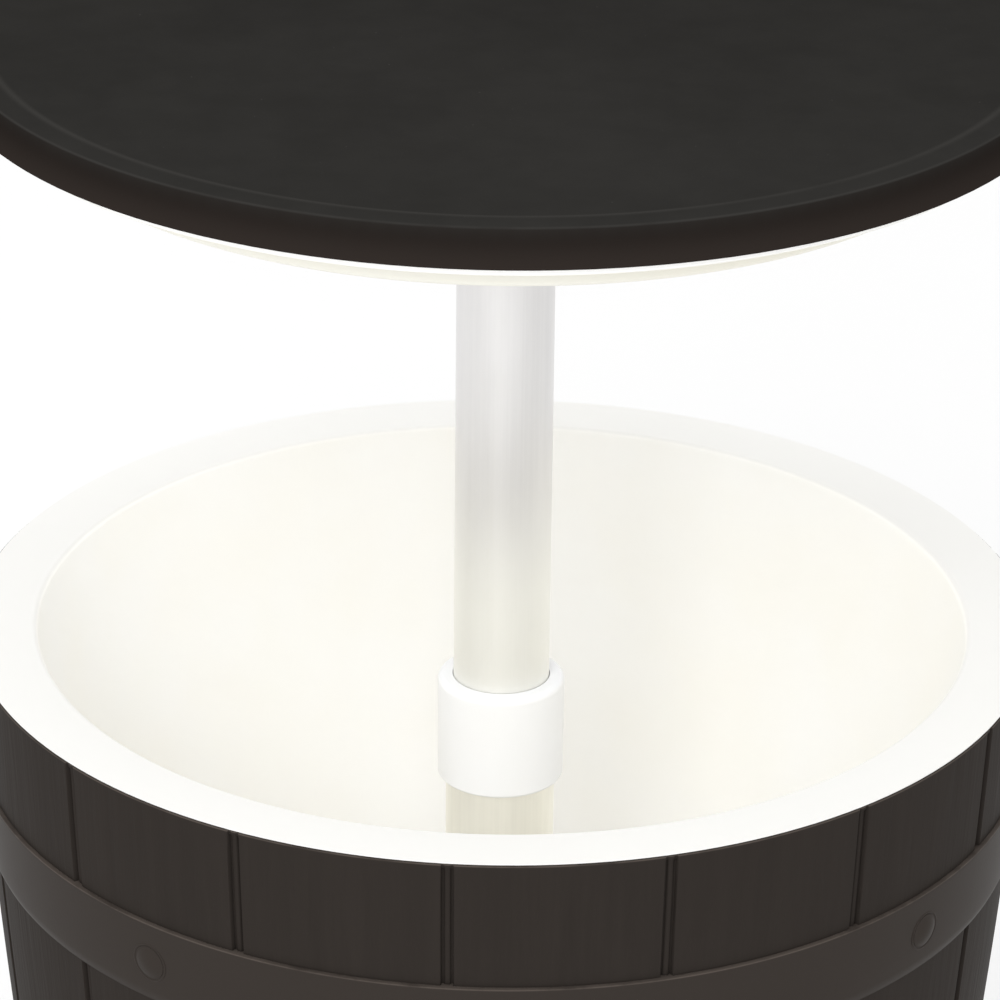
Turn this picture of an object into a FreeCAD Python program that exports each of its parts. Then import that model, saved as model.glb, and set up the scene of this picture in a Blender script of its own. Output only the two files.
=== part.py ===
"""Cooler table with a lid: a staved barrel that holds an ice tub, and a round table top on a pole.

The pole slides in a tube that stands in the middle of the tub, so the table top is the tub's lid
when it is down and a standing table when it is up. Here it is up. Lengths are in millimetres, the
barrel's axis is Z, the ground is Z = 0 and the front is -Y.
"""
import FreeCAD, Part

import math
import os

import Sketcher

SIZES = {
    # Barrel: a bucket with a bowed wall, sixteen staves and two hoops
    "rim_height": 552.0,
    "lip_gap": 0.2,
    "lip_thickness": 1.2,
    "lip_drop": 0.3,
    "lip_chamfer": 0.7,
    "shell_foot_radius": 181.0,
    "shell_foot_rise": 6.0,
    "stave_bow_radius": 3830.0,
    "shell_wall": 3.5,
    "stave_count": 16,
    "groove_azimuth": -5.1,
    "groove_width": 5.5,
    "groove_depth": 2.0,
    "groove_reach": 12.0,
    "shell_rib_depth": 5.0,
    "shell_rib_thickness": 2.5,
    "shell_rib_top_gap": 60.0,
    "hoop_width": 40.5,
    "hoop_proud": 2.0,
    "hoop_fade": 4.0,
    "hoop_fade_step": 0.5,
    "upper_hoop_drop": 61.5,
    "lower_hoop_rise": 60.5,
    "rivet_count": 4,
    "rivet_staves": 1.5,
    "rivet_radius": 8.2,
    "rivet_dome": 2.2,
    "rivet_drop": 20.0,
    "floor_rise": 8.0,
    "floor_wall": 3.0,
    "foot_ring_inset": 9.0,
    "foot_ring_width": 4.0,
    "floor_rib_count": 12,
    "floor_rib_thickness": 3.0,
    "floor_rib_rise": 2.0,
    "screw_boss_radius": 14.0,
    "socket_depth": 45.0,
    "socket_wall": 3.0,
    "gusset_count": 6,
    "gusset_reach": 30.0,
    "gusset_toe": 1.0,
    "gusset_thickness": 3.0,
    "snap_depth": 9.0,
    "snap_bead": 0.9,
    "snap_rise": 3.0,
    # Tub: white liner with a wide flange, a floor and a sleeve round the tube
    "flange_radius": 244.6,
    "flange_thickness": 2.5,
    "flange_dish": 2.4,
    "mouth_radius": 215.4,
    "mouth_rounding": 4.0,
    "tub_depth": 270.0,
    "tub_floor_radius": 166.0,
    "tub_floor_rounding": 42.0,
    "tub_wall": 2.5,
    "skirt_wall": 2.0,
    "skirt_gap": 1.2,
    "sleeve_rise": 60.0,
    "sleeve_wall": 5.0,
    "sleeve_taper": 3.0,
    "sleeve_rounding": 6.0,
    "seal_height": 6.0,
    "seal_width": 2.6,
    "cap_wall": 2.6,
    "cap_skirt": 16.0,
    "cap_top": 3.0,
    "cap_notch_count": 12,
    "cap_notch_radius": 2.2,
    # Tube in the tub, and what holds it
    "tube_radius": 25.5,
    "tube_wall": 1.5,
    "tube_top_drop": 62.0,
    "foot_plug_height": 28.0,
    "foot_plug_wall": 3.0,
    "foot_screw_radius": 3.0,
    "foot_screw_head_radius": 8.0,
    "foot_screw_head_height": 3.5,
    "foot_screw_head_chamfer": 1.0,
    "foot_screw_head_room": 1.0,
    "foot_screw_length": 26.0,
    # Clamp at the top of the tube, and the collar that is turned to lock it
    "bush_insert": 28.0,
    "bush_shoulder_radius": 27.0,
    "bush_shoulder_height": 3.0,
    "finger_radius": 24.6,
    "finger_land": 0.6,
    "finger_land_angle": 34.0,
    "finger_slot": 2.0,
    "finger_root": 1.0,
    "finger_slot_count": 8,
    "land_count": 4,
    "bush_screw_radius": 1.8,
    "bush_screw_drop": 14.0,
    "bush_screw_count": 2,
    "bush_screw_sink": 0.2,
    "collar_radius": 29.7,
    "collar_draft": 0.3,
    "collar_bottom_drop": 83.5,
    "collar_height": 51.5,
    "collar_crown": 4.0,
    "collar_top_rounding": 3.2,
    "collar_bottom_rounding": 1.6,
    "collar_relief": 0.6,
    "collar_relief_angle": 44.0,
    # Pole, and the bush that guides it in the tube
    "pole_radius": 22.4,
    "pole_wall": 1.3,
    "guide_height": 32.0,
    "guide_lip": 4.0,
    "guide_lip_reach": 4.0,
    "end_plug_height": 22.0,
    "end_plug_flange": 3.0,
    "end_plug_wall": 3.0,
    # Lid: black table top over a white liner
    "skirt_lift": 270.9,
    "top_height": 18.0,
    "top_edge_radius": 247.5,
    "top_crest_radius": 245.2,
    "top_crest_rounding": 1.2,
    "top_foot_rounding": 0.8,
    "top_lip_width": 8.0,
    "top_lip_slope": 1.2,
    "top_recess": 1.2,
    "top_wall": 3.0,
    "top_skirt_wall": 2.5,
    "top_rib_count": 12,
    "top_rib_thickness": 2.4,
    "top_ring_rib_radius": 120.0,
    "hub_pad_radius": 52.0,
    "hub_pad_depth": 8.0,
    "liner_wall": 2.2,
    "liner_rim_rise": 3.1,
    "liner_rim_thickness": 2.0,
    "liner_seat_radius": 239.0,
    "liner_seat_drop": 6.0,
    "liner_seat_rounding": 1.5,
    "liner_plug_radius": 212.5,
    "liner_plug_drop": 21.4,
    "liner_plug_rounding": 2.0,
    "liner_dome": 1.5,
    "liner_screw_count": 6,
    "liner_screw_circle": 180.0,
    "liner_screw_radius": 1.9,
    "liner_screw_head_radius": 4.0,
    "liner_screw_head_height": 2.4,
    "liner_screw_length": 16.0,
    "liner_boss_radius": 4.5,
    # Hub that joins the lid to the pole
    "hub_flange_radius": 48.0,
    "hub_flange_thickness": 4.0,
    "hub_ceiling": 2.0,
    "hub_wall": 3.2,
    "hub_socket_depth": 32.0,
    "hub_rib_count": 8,
    "hub_rib_thickness": 2.5,
    "hub_rib_depth": 15.0,
    "hub_rib_inset": 2.0,
    "hub_screw_count": 4,
    "hub_screw_circle": 38.0,
    "hub_screw_radius": 2.0,
    "hub_screw_head_radius": 4.2,
    "hub_screw_head_height": 2.8,
    "hub_screw_length": 12.0,
    "pole_screw_radius": 2.0,
    "pole_screw_rise": 4.5,
    "pole_screw_count": 2,
    # Drain: a plug in the tub's floor and a pipe down through the barrel's floor
    "drain_offset": 110.0,
    "drain_hole_radius": 9.0,
    "drain_recess_radius": 18.0,
    "drain_recess": 1.0,
    "spigot_wall": 2.0,
    "spigot_length": 20.0,
    "pipe_wall": 2.0,
    "pipe_end_rise": 4.0,
    "pipe_flange_radius": 17.0,
    "pipe_flange_thickness": 3.0,
    "plug_head_radius": 14.0,
    "plug_head_height": 3.0,
    "plug_stopper_length": 14.0,
    "plug_stopper_lead": 3.0,
    "plug_stopper_taper": 1.0,
    "plug_seal_radius": 13.0,
    "plug_seal_height": 1.5,
    "plug_grip_height": 14.0,
    "plug_grip_width": 20.0,
    "plug_grip_thickness": 3.5,
    # Clearances, and how far a feature reaches into the solid it joins or past the one it cuts
    "press_gap": 0.05,
    "fixed_gap": 0.15,
    "running_gap": 0.07,
    "moving_gap": 0.3,
    "clamp_gap": 0.35,
    "bury": 1.0,
    "overcut": 1.0,
}


class Size:
    """A length, count or angle as a number, with the sheet expression that gives it."""

    def __init__(self, value, text):
        self.value = value
        self.text = text

    def joined(self, other, sign, value):
        return Size(value, "(%s %s %s)" % (self.text, sign, as_size(other).text))

    def __add__(self, other):
        return self.joined(other, "+", self.value + as_size(other).value)

    def __sub__(self, other):
        return self.joined(other, "-", self.value - as_size(other).value)

    def __mul__(self, other):
        return self.joined(other, "*", self.value * as_size(other).value)

    def __truediv__(self, other):
        return self.joined(other, "/", self.value / as_size(other).value)

    def __neg__(self):
        return Size(-self.value, "(0 - %s)" % self.text)


def as_size(number):
    """Let a plain number, such as a 2 in a formula, stand beside sizes from the sheet."""
    if isinstance(number, Size):
        return number
    return Size(float(number), "(%r)" % float(number))


def root(size):
    return Size(math.sqrt(size.value), "sqrt(%s)" % size.text)


def cosine(angle):
    return Size(math.cos(math.radians(angle.value)), "cos(%s)" % angle.text)


def sine(angle):
    return Size(math.sin(math.radians(angle.value)), "sin(%s)" % angle.text)


class Sheet:
    """A spreadsheet of the document, whose named cells are read as sizes."""

    def __init__(self, doc, name):
        self.name = name
        self.sheet = doc.addObject("Spreadsheet::Sheet", name)
        self.rows = 0

    def put(self, alias, value, content):
        self.rows += 1
        cell = "B%d" % self.rows
        self.sheet.set("A%d" % self.rows, alias)
        self.sheet.set(cell, content)
        self.sheet.setAlias(cell, alias)
        setattr(self, alias, Size(value, "%s.%s" % (self.name, alias)))


DOC = FreeCAD.newDocument("CoolerTable")
S = Sheet(DOC, "Sizes")
for size_name, size_value in SIZES.items():
    S.put(size_name, float(size_value), repr(size_value))
W = Sheet(DOC, "Worked")
DOC.recompute()


def worked(alias, size):
    """Keep a length that several pieces share in the second sheet, under its own name."""
    W.put(alias, size.value, "=" + size.text)


class Bend:
    """In an outline, an arc of this radius from the corner before it to the corner after it."""

    def __init__(self, radius, middle_x, middle_y):
        self.radius = radius
        self.middle = (middle_x, middle_y)


# Shared levels and radii


def work_out_levels():
    """Levels above the ground and radii that more than one piece is built from."""
    worked("ledge", S.rim_height - S.flange_thickness)
    worked("lip_top", S.rim_height - S.lip_drop)
    worked("lip_inner_radius", S.flange_radius + S.lip_gap)
    worked("rim_radius", W.lip_inner_radius + S.lip_thickness)
    worked("floor_top", S.floor_rise + S.floor_wall)
    worked("upper_hoop", S.rim_height - S.upper_hoop_drop - S.hoop_width)
    worked("tub_floor", S.rim_height - S.tub_depth)
    worked("sleeve_top", W.tub_floor + S.sleeve_rise)
    worked("sleeve_bore", S.tube_radius + S.fixed_gap)
    worked("sleeve_radius", W.sleeve_bore + S.sleeve_wall)
    worked("tube_top", S.rim_height - S.tube_top_drop)
    worked("tube_bore", S.tube_radius - S.tube_wall)
    worked("collar_bottom", S.rim_height - S.collar_bottom_drop)
    worked("collar_top", W.collar_bottom + S.collar_height)
    worked("finger_top", W.collar_top - S.collar_crown)
    worked("shoulder_top", W.tube_top + S.bush_shoulder_height)
    worked("land_radius", S.finger_radius + S.finger_land)
    worked("pole_bottom", W.tube_top - S.bush_insert - S.moving_gap - S.guide_height)
    worked("pole_bore", S.pole_radius - S.pole_wall)
    worked("skirt_bottom", S.rim_height + S.skirt_lift)
    worked("top_crest", W.skirt_bottom + S.top_height)
    worked("top_face", W.top_crest - S.top_recess)
    worked("top_underside", W.top_face - S.top_wall)
    worked("hub_top", W.top_underside - S.hub_pad_depth)
    worked("hub_bottom", W.hub_top - S.hub_socket_depth)
    worked("pole_top", W.hub_top - S.hub_ceiling)
    worked("hub_radius", S.pole_radius + S.press_gap + S.hub_wall)
    worked("liner_rim_top", W.skirt_bottom + S.liner_rim_rise)
    worked("liner_seat", W.skirt_bottom - S.liner_seat_drop)
    worked("liner_bottom", W.skirt_bottom - S.liner_plug_drop)
    worked("spigot_radius", S.drain_hole_radius + S.spigot_wall)
    worked("pipe_bore", W.spigot_radius + S.fixed_gap)
    worked("pipe_radius", W.pipe_bore + S.pipe_wall)
    DOC.recompute()


def work_out_bow():
    """Centre of the arc that bows the barrel's wall, from its two ends and its radius."""
    rise = W.lip_top - S.shell_foot_rise
    spread = W.rim_radius - S.shell_foot_radius
    worked("bow_chord", root(rise * rise + spread * spread))
    half = W.bow_chord / 2
    worked("bow_depth", root(S.stave_bow_radius * S.stave_bow_radius - half * half))
    across = (W.rim_radius + S.shell_foot_radius) / 2
    up = (W.lip_top + S.shell_foot_rise) / 2
    worked("bow_centre_across", across - W.bow_depth * rise / W.bow_chord)
    worked("bow_centre_up", up + W.bow_depth * spread / W.bow_chord)
    DOC.recompute()


def wall_radius(height, inset=0):
    """Radius of the barrel's bowed wall at a height, this far in from its outer face."""
    reach = S.stave_bow_radius - inset
    above = height - W.bow_centre_up
    return W.bow_centre_across + root(reach * reach - above * above)


def wall_bend(low, high, inset=0):
    """The barrel's bow between two heights, as an arc of an outline."""
    middle = (low + high) / 2
    return Bend(S.stave_bow_radius - inset, wall_radius(middle, inset), middle)


# Building blocks


def new_body(label):
    body = DOC.addObject("PartDesign::Body", label)
    body.Label = label
    return body


def origin_feature(body, role):
    for feature in body.Origin.OriginFeatures:
        if feature.Role == role:
            return feature
    raise RuntimeError("no %s in %s" % (role, body.Label))


def sketch_on(body, name, plane="XZ_Plane", lift=None, turn=None):
    """A sketch on an origin plane, lifted along its normal or turned about the body's Z axis."""
    sketch = body.newObject("Sketcher::SketchObject", "%s_%s" % (body.Label, name))
    sketch.AttachmentSupport = [(origin_feature(body, plane), "")]
    sketch.MapMode = "FlatFace"
    if turn is not None:
        axis = FreeCAD.Vector(0, 1, 0)
        rotation = FreeCAD.Rotation(axis, turn.value)
        sketch.AttachmentOffset = FreeCAD.Placement(FreeCAD.Vector(), rotation)
        sketch.setExpression("AttachmentOffset.Rotation.Angle", turn.text)
    if lift is not None:
        sketch.AttachmentOffset = FreeCAD.Placement(FreeCAD.Vector(0, 0, lift.value), FreeCAD.Rotation())
        sketch.setExpression("AttachmentOffset.Base.z", lift.text)
    return sketch


def bind(sketch, kind, places, size):
    """Add a dimension to a sketch and bind it to the sheet."""
    index = sketch.addConstraint(Sketcher.Constraint(kind, *places, size.value))
    sketch.setExpression("Constraints[%d]" % index, size.text)


def pin_point(sketch, edge, end, x, y):
    """Hold one point of a sketch at x, y from its origin. A plain 0 puts it on the axis."""
    for size, kind, axis in ((x, "DistanceX", -2), (y, "DistanceY", -1)):
        if isinstance(size, Size):
            bind(sketch, kind, (-1, 1, edge, end), size)
        else:
            sketch.addConstraint(Sketcher.Constraint("PointOnObject", edge, end, axis))


def point(x, y):
    return FreeCAD.Vector(as_size(x).value, as_size(y).value, 0)


def outline(sketch, shape):
    """Draw a closed outline of corners, with an arc where a Bend stands between two corners."""
    corners = [item for item in shape if not isinstance(item, Bend)]
    bends = {}
    for item in shape:
        if isinstance(item, Bend):
            bends[seen] = item
        else:
            seen = corners.index(item)
    ends = []
    for index, corner in enumerate(corners):
        start = point(*corner)
        finish = point(*corners[(index + 1) % len(corners)])
        if index in bends:
            middle = point(*bends[index].middle)
            # A sketch's arcs run anticlockwise, so one that bends the other way is drawn from its end
            forward = (middle - start).cross(finish - middle).z > 0
            arc = Part.Arc(start, middle, finish) if forward else Part.Arc(finish, middle, start)
            edge = sketch.addGeometry(arc, False)
            bind(sketch, "Radius", (edge,), bends[index].radius)
            ends.append((edge, 1, 2) if forward else (edge, 2, 1))
        else:
            edge = sketch.addGeometry(Part.LineSegment(start, finish), False)
            ends.append((edge, 1, 2))
    for index, (edge, first, last) in enumerate(ends):
        following = ends[(index + 1) % len(ends)]
        sketch.addConstraint(Sketcher.Constraint("Coincident", edge, last, following[0], following[1]))
        pin_point(sketch, edge, first, *corners[index])
    return sketch


def rectangle(sketch, left, right, low, high):
    return outline(sketch, [(left, low), (right, low), (right, high), (left, high)])


def circle(sketch, x, y, radius):
    disc = Part.Circle(point(x, y), FreeCAD.Vector(0, 0, 1), radius.value)
    edge = sketch.addGeometry(disc, False)
    bind(sketch, "Radius", (edge,), radius)
    pin_point(sketch, edge, 3, x, y)
    return sketch


def ring_sector(sketch, inner, outer, angle):
    """Part of a ring between two radii, centred on the sketch's X axis."""
    half = angle / 2
    near = (inner * cosine(half), inner * sine(half))
    far = (outer * cosine(half), outer * sine(half))
    return outline(sketch, [
        (near[0], -near[1]), (far[0], -far[1]), Bend(outer, outer, 0), far, near, Bend(inner, inner, 0),
    ])


def volume(body):
    return body.Tip.Shape.Volume if body.Tip else 0.0


def finished(body, feature, before, grows):
    """Recompute, and stop if a feature that adds or cuts left the volume as it was."""
    DOC.recompute()
    change = feature.Shape.Volume - before
    if change == 0 or (change > 0) != grows:
        raise RuntimeError("%s changed the volume of %s by %g" % (feature.Name, body.Label, change))
    return feature


def revolve(body, sketch, axis="V_Axis"):
    before = volume(body)
    feature = body.newObject("PartDesign::Revolution", sketch.Name + "_turned")
    feature.Profile = sketch
    feature.ReferenceAxis = (sketch, [axis])
    feature.Angle = 360
    return finished(body, feature, before, True)


def pad(body, sketch, length, both=False, down=False):
    before = volume(body)
    feature = body.newObject("PartDesign::Pad", sketch.Name + "_pad")
    feature.Profile = sketch
    feature.setExpression("Length", length.text)
    feature.SideType = "Symmetric" if both else "One side"
    feature.Reversed = down
    return finished(body, feature, before, True)


def pocket(body, sketch, length=None, both=False, up=False):
    """Cut a sketch away, to a length or, with none, right through."""
    before = volume(body)
    feature = body.newObject("PartDesign::Pocket", sketch.Name + "_cut")
    feature.Profile = sketch
    if length is None:
        feature.Type = "ThroughAll"
    else:
        feature.setExpression("Length", length.text)
    feature.SideType = "Symmetric" if both else "One side"
    feature.Reversed = up
    return finished(body, feature, before, False)


def polar(body, features, count, grows=True):
    before = volume(body)
    pattern = body.newObject("PartDesign::PolarPattern", features[0].Name + "_round")
    pattern.Originals = features
    pattern.Axis = (origin_feature(body, "Z_Axis"), [""])
    pattern.Angle = 360
    pattern.setExpression("Occurrences", count.text)
    body.Tip = pattern
    return finished(body, pattern, before, grows)


def rings_at(feature, places):
    """Names of the circular edges about the Z axis at each radius and height."""
    names = []
    for index, edge in enumerate(feature.Shape.Edges):
        curve = edge.Curve
        if not isinstance(curve, Part.Circle) or math.hypot(curve.Center.x, curve.Center.y) > 1e-4:
            continue
        for radius, height in places:
            near = abs(curve.Radius - radius.value) < 1e-3
            if near and abs(curve.Center.z - height.value) < 1e-3:
                names.append("Edge%d" % (index + 1))
    if len(names) < len(places):
        raise RuntimeError("found %d of %d rings to round on %s" % (len(names), len(places), feature.Name))
    return names


def soften(body, radius, places, kind="Fillet"):
    """Fillet or chamfer the rings at the given radii and heights of the body as it stands."""
    base = body.Tip
    feature = body.newObject("PartDesign::" + kind, "%s_%s" % (body.Label, kind.lower()))
    feature.Base = (base, rings_at(base, places))
    feature.setExpression("Radius" if kind == "Fillet" else "Size", radius.text)
    DOC.recompute()
    return feature


# Barrel


def hoop_corners(low):
    """A hoop moulded on the staves, from its square upper edge to its faded lower one."""
    high = low + S.hoop_width
    full = low + S.hoop_fade
    return [
        (wall_radius(high), high),
        (wall_radius(high, -S.hoop_proud), high),
        wall_bend(full, high, -S.hoop_proud),
        (wall_radius(full, -S.hoop_proud), full),
        (wall_radius(low, -S.hoop_fade_step), low),
        (wall_radius(low), low),
    ]


def shell_outline():
    """Section of the bucket: lip, bowed wall with hoops, foot ring, floor, socket and bead."""
    foot_ring = S.shell_foot_radius - S.foot_ring_inset
    foot_ring_bore = foot_ring - S.foot_ring_width
    hole = S.foot_screw_radius + S.moving_gap
    head_bore = S.foot_screw_head_radius + S.foot_screw_head_room
    socket_radius = W.sleeve_bore + S.socket_wall
    socket_top = W.floor_top + S.socket_depth
    bead_top = W.ledge - S.snap_depth + S.snap_rise
    bead_middle = bead_top - S.snap_rise / 2
    bead_low = bead_top - S.snap_rise
    return [
        (W.lip_inner_radius, W.lip_top),
        (W.rim_radius, W.lip_top),
        wall_bend(W.upper_hoop + S.hoop_width, W.lip_top),
        *hoop_corners(W.upper_hoop),
        wall_bend(S.lower_hoop_rise + S.hoop_width, W.upper_hoop),
        *hoop_corners(S.lower_hoop_rise),
        wall_bend(S.shell_foot_rise, S.lower_hoop_rise),
        (S.shell_foot_radius, S.shell_foot_rise),
        (foot_ring, S.shell_foot_rise),
        (foot_ring, 0),
        (foot_ring_bore, 0),
        (foot_ring_bore, S.floor_rise),
        (S.screw_boss_radius, S.floor_rise),
        (S.screw_boss_radius, S.floor_rib_rise),
        (head_bore, S.floor_rib_rise),
        (head_bore, S.floor_rise),
        (hole, S.floor_rise),
        (hole, W.floor_top),
        (W.sleeve_bore, W.floor_top),
        (W.sleeve_bore, socket_top),
        (socket_radius, socket_top),
        (socket_radius, W.floor_top),
        (wall_radius(W.floor_top, S.shell_wall), W.floor_top),
        wall_bend(W.floor_top, bead_low, S.shell_wall),
        (wall_radius(bead_low, S.shell_wall), bead_low),
        (wall_radius(bead_middle, S.shell_wall) - S.snap_bead, bead_middle),
        (wall_radius(bead_top, S.shell_wall), bead_top),
        wall_bend(bead_top, W.ledge, S.shell_wall),
        (wall_radius(W.ledge, S.shell_wall), W.ledge),
        (W.lip_inner_radius, W.ledge),
    ]


def channel(sketch, low, high):
    """One stretch of the channel between two staves, cut from outside to the channel's floor."""
    outline(sketch, [
        (wall_radius(low, S.groove_depth), low),
        (wall_radius(low, -S.groove_reach), low),
        (wall_radius(high, -S.groove_reach), high),
        (wall_radius(high, S.groove_depth), high),
        wall_bend(low, high, S.groove_depth),
    ])


def shell_rib_outline():
    """A rib inside the wall, behind a groove, from the floor to below the tub's flange."""
    high = W.ledge - S.shell_rib_top_gap
    skin = S.shell_wall / 2
    deep = S.shell_wall + S.shell_rib_depth
    return [
        (wall_radius(W.floor_top, skin), W.floor_top),
        wall_bend(W.floor_top, high, skin),
        (wall_radius(high, skin), high),
        (wall_radius(high - S.shell_rib_depth, deep), high - S.shell_rib_depth),
        wall_bend(W.floor_top, high - S.shell_rib_depth, deep),
        (wall_radius(W.floor_top, deep), W.floor_top),
    ]


def rivet(body, name, hoop_low):
    """Round rivet head on a hoop, halfway between two grooves, turned about its own axis."""
    height = hoop_low + S.hoop_width - S.rivet_drop
    face = wall_radius(height, -S.hoop_proud)
    turn = as_size(360) / S.stave_count * S.rivet_staves
    sketch = sketch_on(body, name, turn=-turn)
    crown = face + S.rivet_dome
    seat = face - S.hoop_proud
    bend = (S.rivet_radius * S.rivet_radius + S.rivet_dome * S.rivet_dome) / (S.rivet_dome * 2)
    half_rise = height + S.rivet_radius / 2
    mid = face + S.rivet_dome - bend + root(bend * bend - S.rivet_radius * S.rivet_radius / 4)
    outline(sketch, [
        (seat, height),
        (crown, height),
        Bend(bend, mid, half_rise),
        (face, height + S.rivet_radius),
        (seat, height + S.rivet_radius),
    ])
    axis = sketch.addGeometry(Part.LineSegment(point(seat, height), point(crown, height)), True)
    pin_point(sketch, axis, 1, seat, height)
    pin_point(sketch, axis, 2, crown, height)
    return revolve(body, sketch, "Axis0")


def barrel_shell():
    body = new_body("barrel_shell")
    revolve(body, outline(sketch_on(body, "section"), shell_outline()))
    soften(body, S.lip_chamfer, [(W.rim_radius, W.lip_top)], "Chamfer")
    floor_ribs(body)
    socket_gussets(body)
    polar(body, [rivet(body, "upper_rivet", W.upper_hoop)], S.rivet_count)
    polar(body, [rivet(body, "lower_rivet", S.lower_hoop_rise)], S.rivet_count)
    turn = S.groove_azimuth - 90
    across = S.drain_offset * cosine(turn - 90)
    along = S.drain_offset * sine(turn - 90)
    hole = sketch_on(body, "drain_hole", "XY_Plane")
    pocket(body, circle(hole, across, -along, W.pipe_radius + S.moving_gap), both=True)
    rib = pad(body, outline(sketch_on(body, "wall_rib"), shell_rib_outline()), S.shell_rib_thickness, both=True)
    polar(body, [rib], S.stave_count)
    groove = sketch_on(body, "groove")
    channel(groove, -S.groove_width, S.lower_hoop_rise)
    channel(groove, S.lower_hoop_rise + S.hoop_width, W.upper_hoop)
    channel(groove, W.upper_hoop + S.hoop_width, S.rim_height + S.groove_width)
    polar(body, [pocket(body, groove, S.groove_width, both=True)], S.stave_count, grows=False)
    body.Placement = FreeCAD.Placement(FreeCAD.Vector(), FreeCAD.Rotation(FreeCAD.Vector(0, 0, 1), turn.value))
    body.setExpression("Placement.Rotation.Angle", turn.text)


def floor_ribs(body):
    """Ribs under the floor, from the screw's boss out to the foot ring, clear of the drain."""
    sketch = sketch_on(body, "floor_rib", turn=as_size(180) / S.floor_rib_count)
    outer = S.shell_foot_radius - S.foot_ring_inset - S.foot_ring_width / 2
    inner = S.screw_boss_radius - S.bury
    rectangle(sketch, inner, outer, S.floor_rib_rise, S.floor_rise + S.floor_wall / 2)
    polar(body, [pad(body, sketch, S.floor_rib_thickness, both=True)], S.floor_rib_count)


def socket_gussets(body):
    """Triangular gussets round the socket that the tube stands in."""
    sketch = sketch_on(body, "gusset")
    radius = W.sleeve_bore + S.socket_wall
    buried = radius - S.socket_wall / 2
    low = W.floor_top - S.floor_wall / 2
    high = W.floor_top + S.socket_depth - S.socket_wall
    outline(sketch, [
        (buried, low),
        (radius + S.gusset_reach, low),
        (radius + S.gusset_reach, W.floor_top + S.gusset_toe),
        (radius, high),
        (buried, high),
    ])
    polar(body, [pad(body, sketch, S.gusset_thickness, both=True)], S.gusset_count)


# Tub


def tub_outline():
    """Section of the white tub: flange, wall, floor, sleeve round the tube, and skirt."""
    slope = (S.mouth_radius - S.tub_floor_radius) / (S.tub_depth - S.flange_dish)
    under = W.tub_floor - S.tub_wall
    skirt_end = W.ledge - S.snap_depth - S.snap_rise
    skirt = wall_radius(skirt_end, S.shell_wall) - S.skirt_gap
    skirt_bore = skirt - S.skirt_wall
    hook = skirt_end + S.snap_rise / 2
    return [
        (S.flange_radius, S.rim_height),
        (S.mouth_radius, S.rim_height - S.flange_dish),
        (S.tub_floor_radius, W.tub_floor),
        (W.sleeve_radius + S.sleeve_taper, W.tub_floor),
        (W.sleeve_radius, W.sleeve_top),
        (S.tube_radius + S.seal_width, W.sleeve_top),
        (S.tube_radius + S.seal_width, W.sleeve_top - S.seal_height),
        (W.sleeve_bore, W.sleeve_top - S.seal_height),
        (W.sleeve_bore, under),
        (S.tub_floor_radius + S.tub_wall - slope * S.tub_wall, under),
        (S.mouth_radius + S.tub_wall, W.ledge - S.flange_dish),
        (skirt_bore, W.ledge),
        (skirt_bore, skirt_end),
        (skirt, skirt_end),
        (skirt + S.snap_bead, hook),
        (skirt, skirt_end + S.snap_rise),
        (skirt, W.ledge),
        (S.flange_radius, W.ledge),
    ]


def tub_liner():
    body = new_body("tub_liner")
    revolve(body, outline(sketch_on(body, "section"), tub_outline()))
    under = W.tub_floor - S.tub_wall
    slope = (S.mouth_radius - S.tub_floor_radius) / (S.tub_depth - S.flange_dish)
    outer = S.tub_floor_radius + S.tub_wall - slope * S.tub_wall
    soften(body, S.mouth_rounding, [(S.mouth_radius, S.rim_height - S.flange_dish)])
    soften(body, S.tub_floor_rounding, [(S.tub_floor_radius, W.tub_floor)])
    soften(body, S.tub_floor_rounding + S.tub_wall, [(outer, under)])
    soften(body, S.sleeve_rounding, [(W.sleeve_radius + S.sleeve_taper, W.tub_floor)])
    drain = sketch_on(body, "spigot", "XY_Plane", lift=under)
    pad(body, circle(drain, 0, S.drain_offset, W.spigot_radius), S.spigot_length, down=True)
    recess = sketch_on(body, "drain_recess", "XY_Plane", lift=W.tub_floor)
    pocket(body, circle(recess, 0, S.drain_offset, S.drain_recess_radius), S.drain_recess)
    bore = sketch_on(body, "drain_bore", "XY_Plane", lift=W.tub_floor)
    pocket(body, circle(bore, 0, S.drain_offset, S.drain_hole_radius), S.tub_wall + S.spigot_length)


def tube_seal():
    """Rubber ring between the tub's sleeve and the tube."""
    body = new_body("tube_seal")
    low = W.sleeve_top - S.seal_height
    inner = S.tube_radius + S.press_gap
    outer = S.tube_radius + S.seal_width - S.press_gap
    revolve(body, rectangle(sketch_on(body, "section"), inner, outer, low, W.sleeve_top))


def sleeve_cap():
    """Ring cap that is pushed over the sleeve and keeps the seal in, with notches for a grip."""
    body = new_body("sleeve_cap")
    bore = W.sleeve_radius + S.sleeve_taper * S.cap_skirt / S.sleeve_rise + S.fixed_gap
    outer = bore + S.cap_wall
    high = W.sleeve_top + S.cap_top
    low = W.sleeve_top - S.cap_skirt
    hole = S.tube_radius + S.moving_gap
    revolve(body, outline(sketch_on(body, "section"), [
        (hole, W.sleeve_top), (bore, W.sleeve_top), (bore, low), (outer, low), (outer, high), (hole, high),
    ]))
    soften(body, S.cap_top / 2, [(outer, high)])
    notch = circle(sketch_on(body, "notch", "XY_Plane", lift=high), outer + S.cap_notch_radius / 2, 0, S.cap_notch_radius)
    polar(body, [pocket(body, notch, S.cap_top + S.cap_skirt)], S.cap_notch_count, grows=False)


# Tube


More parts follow.
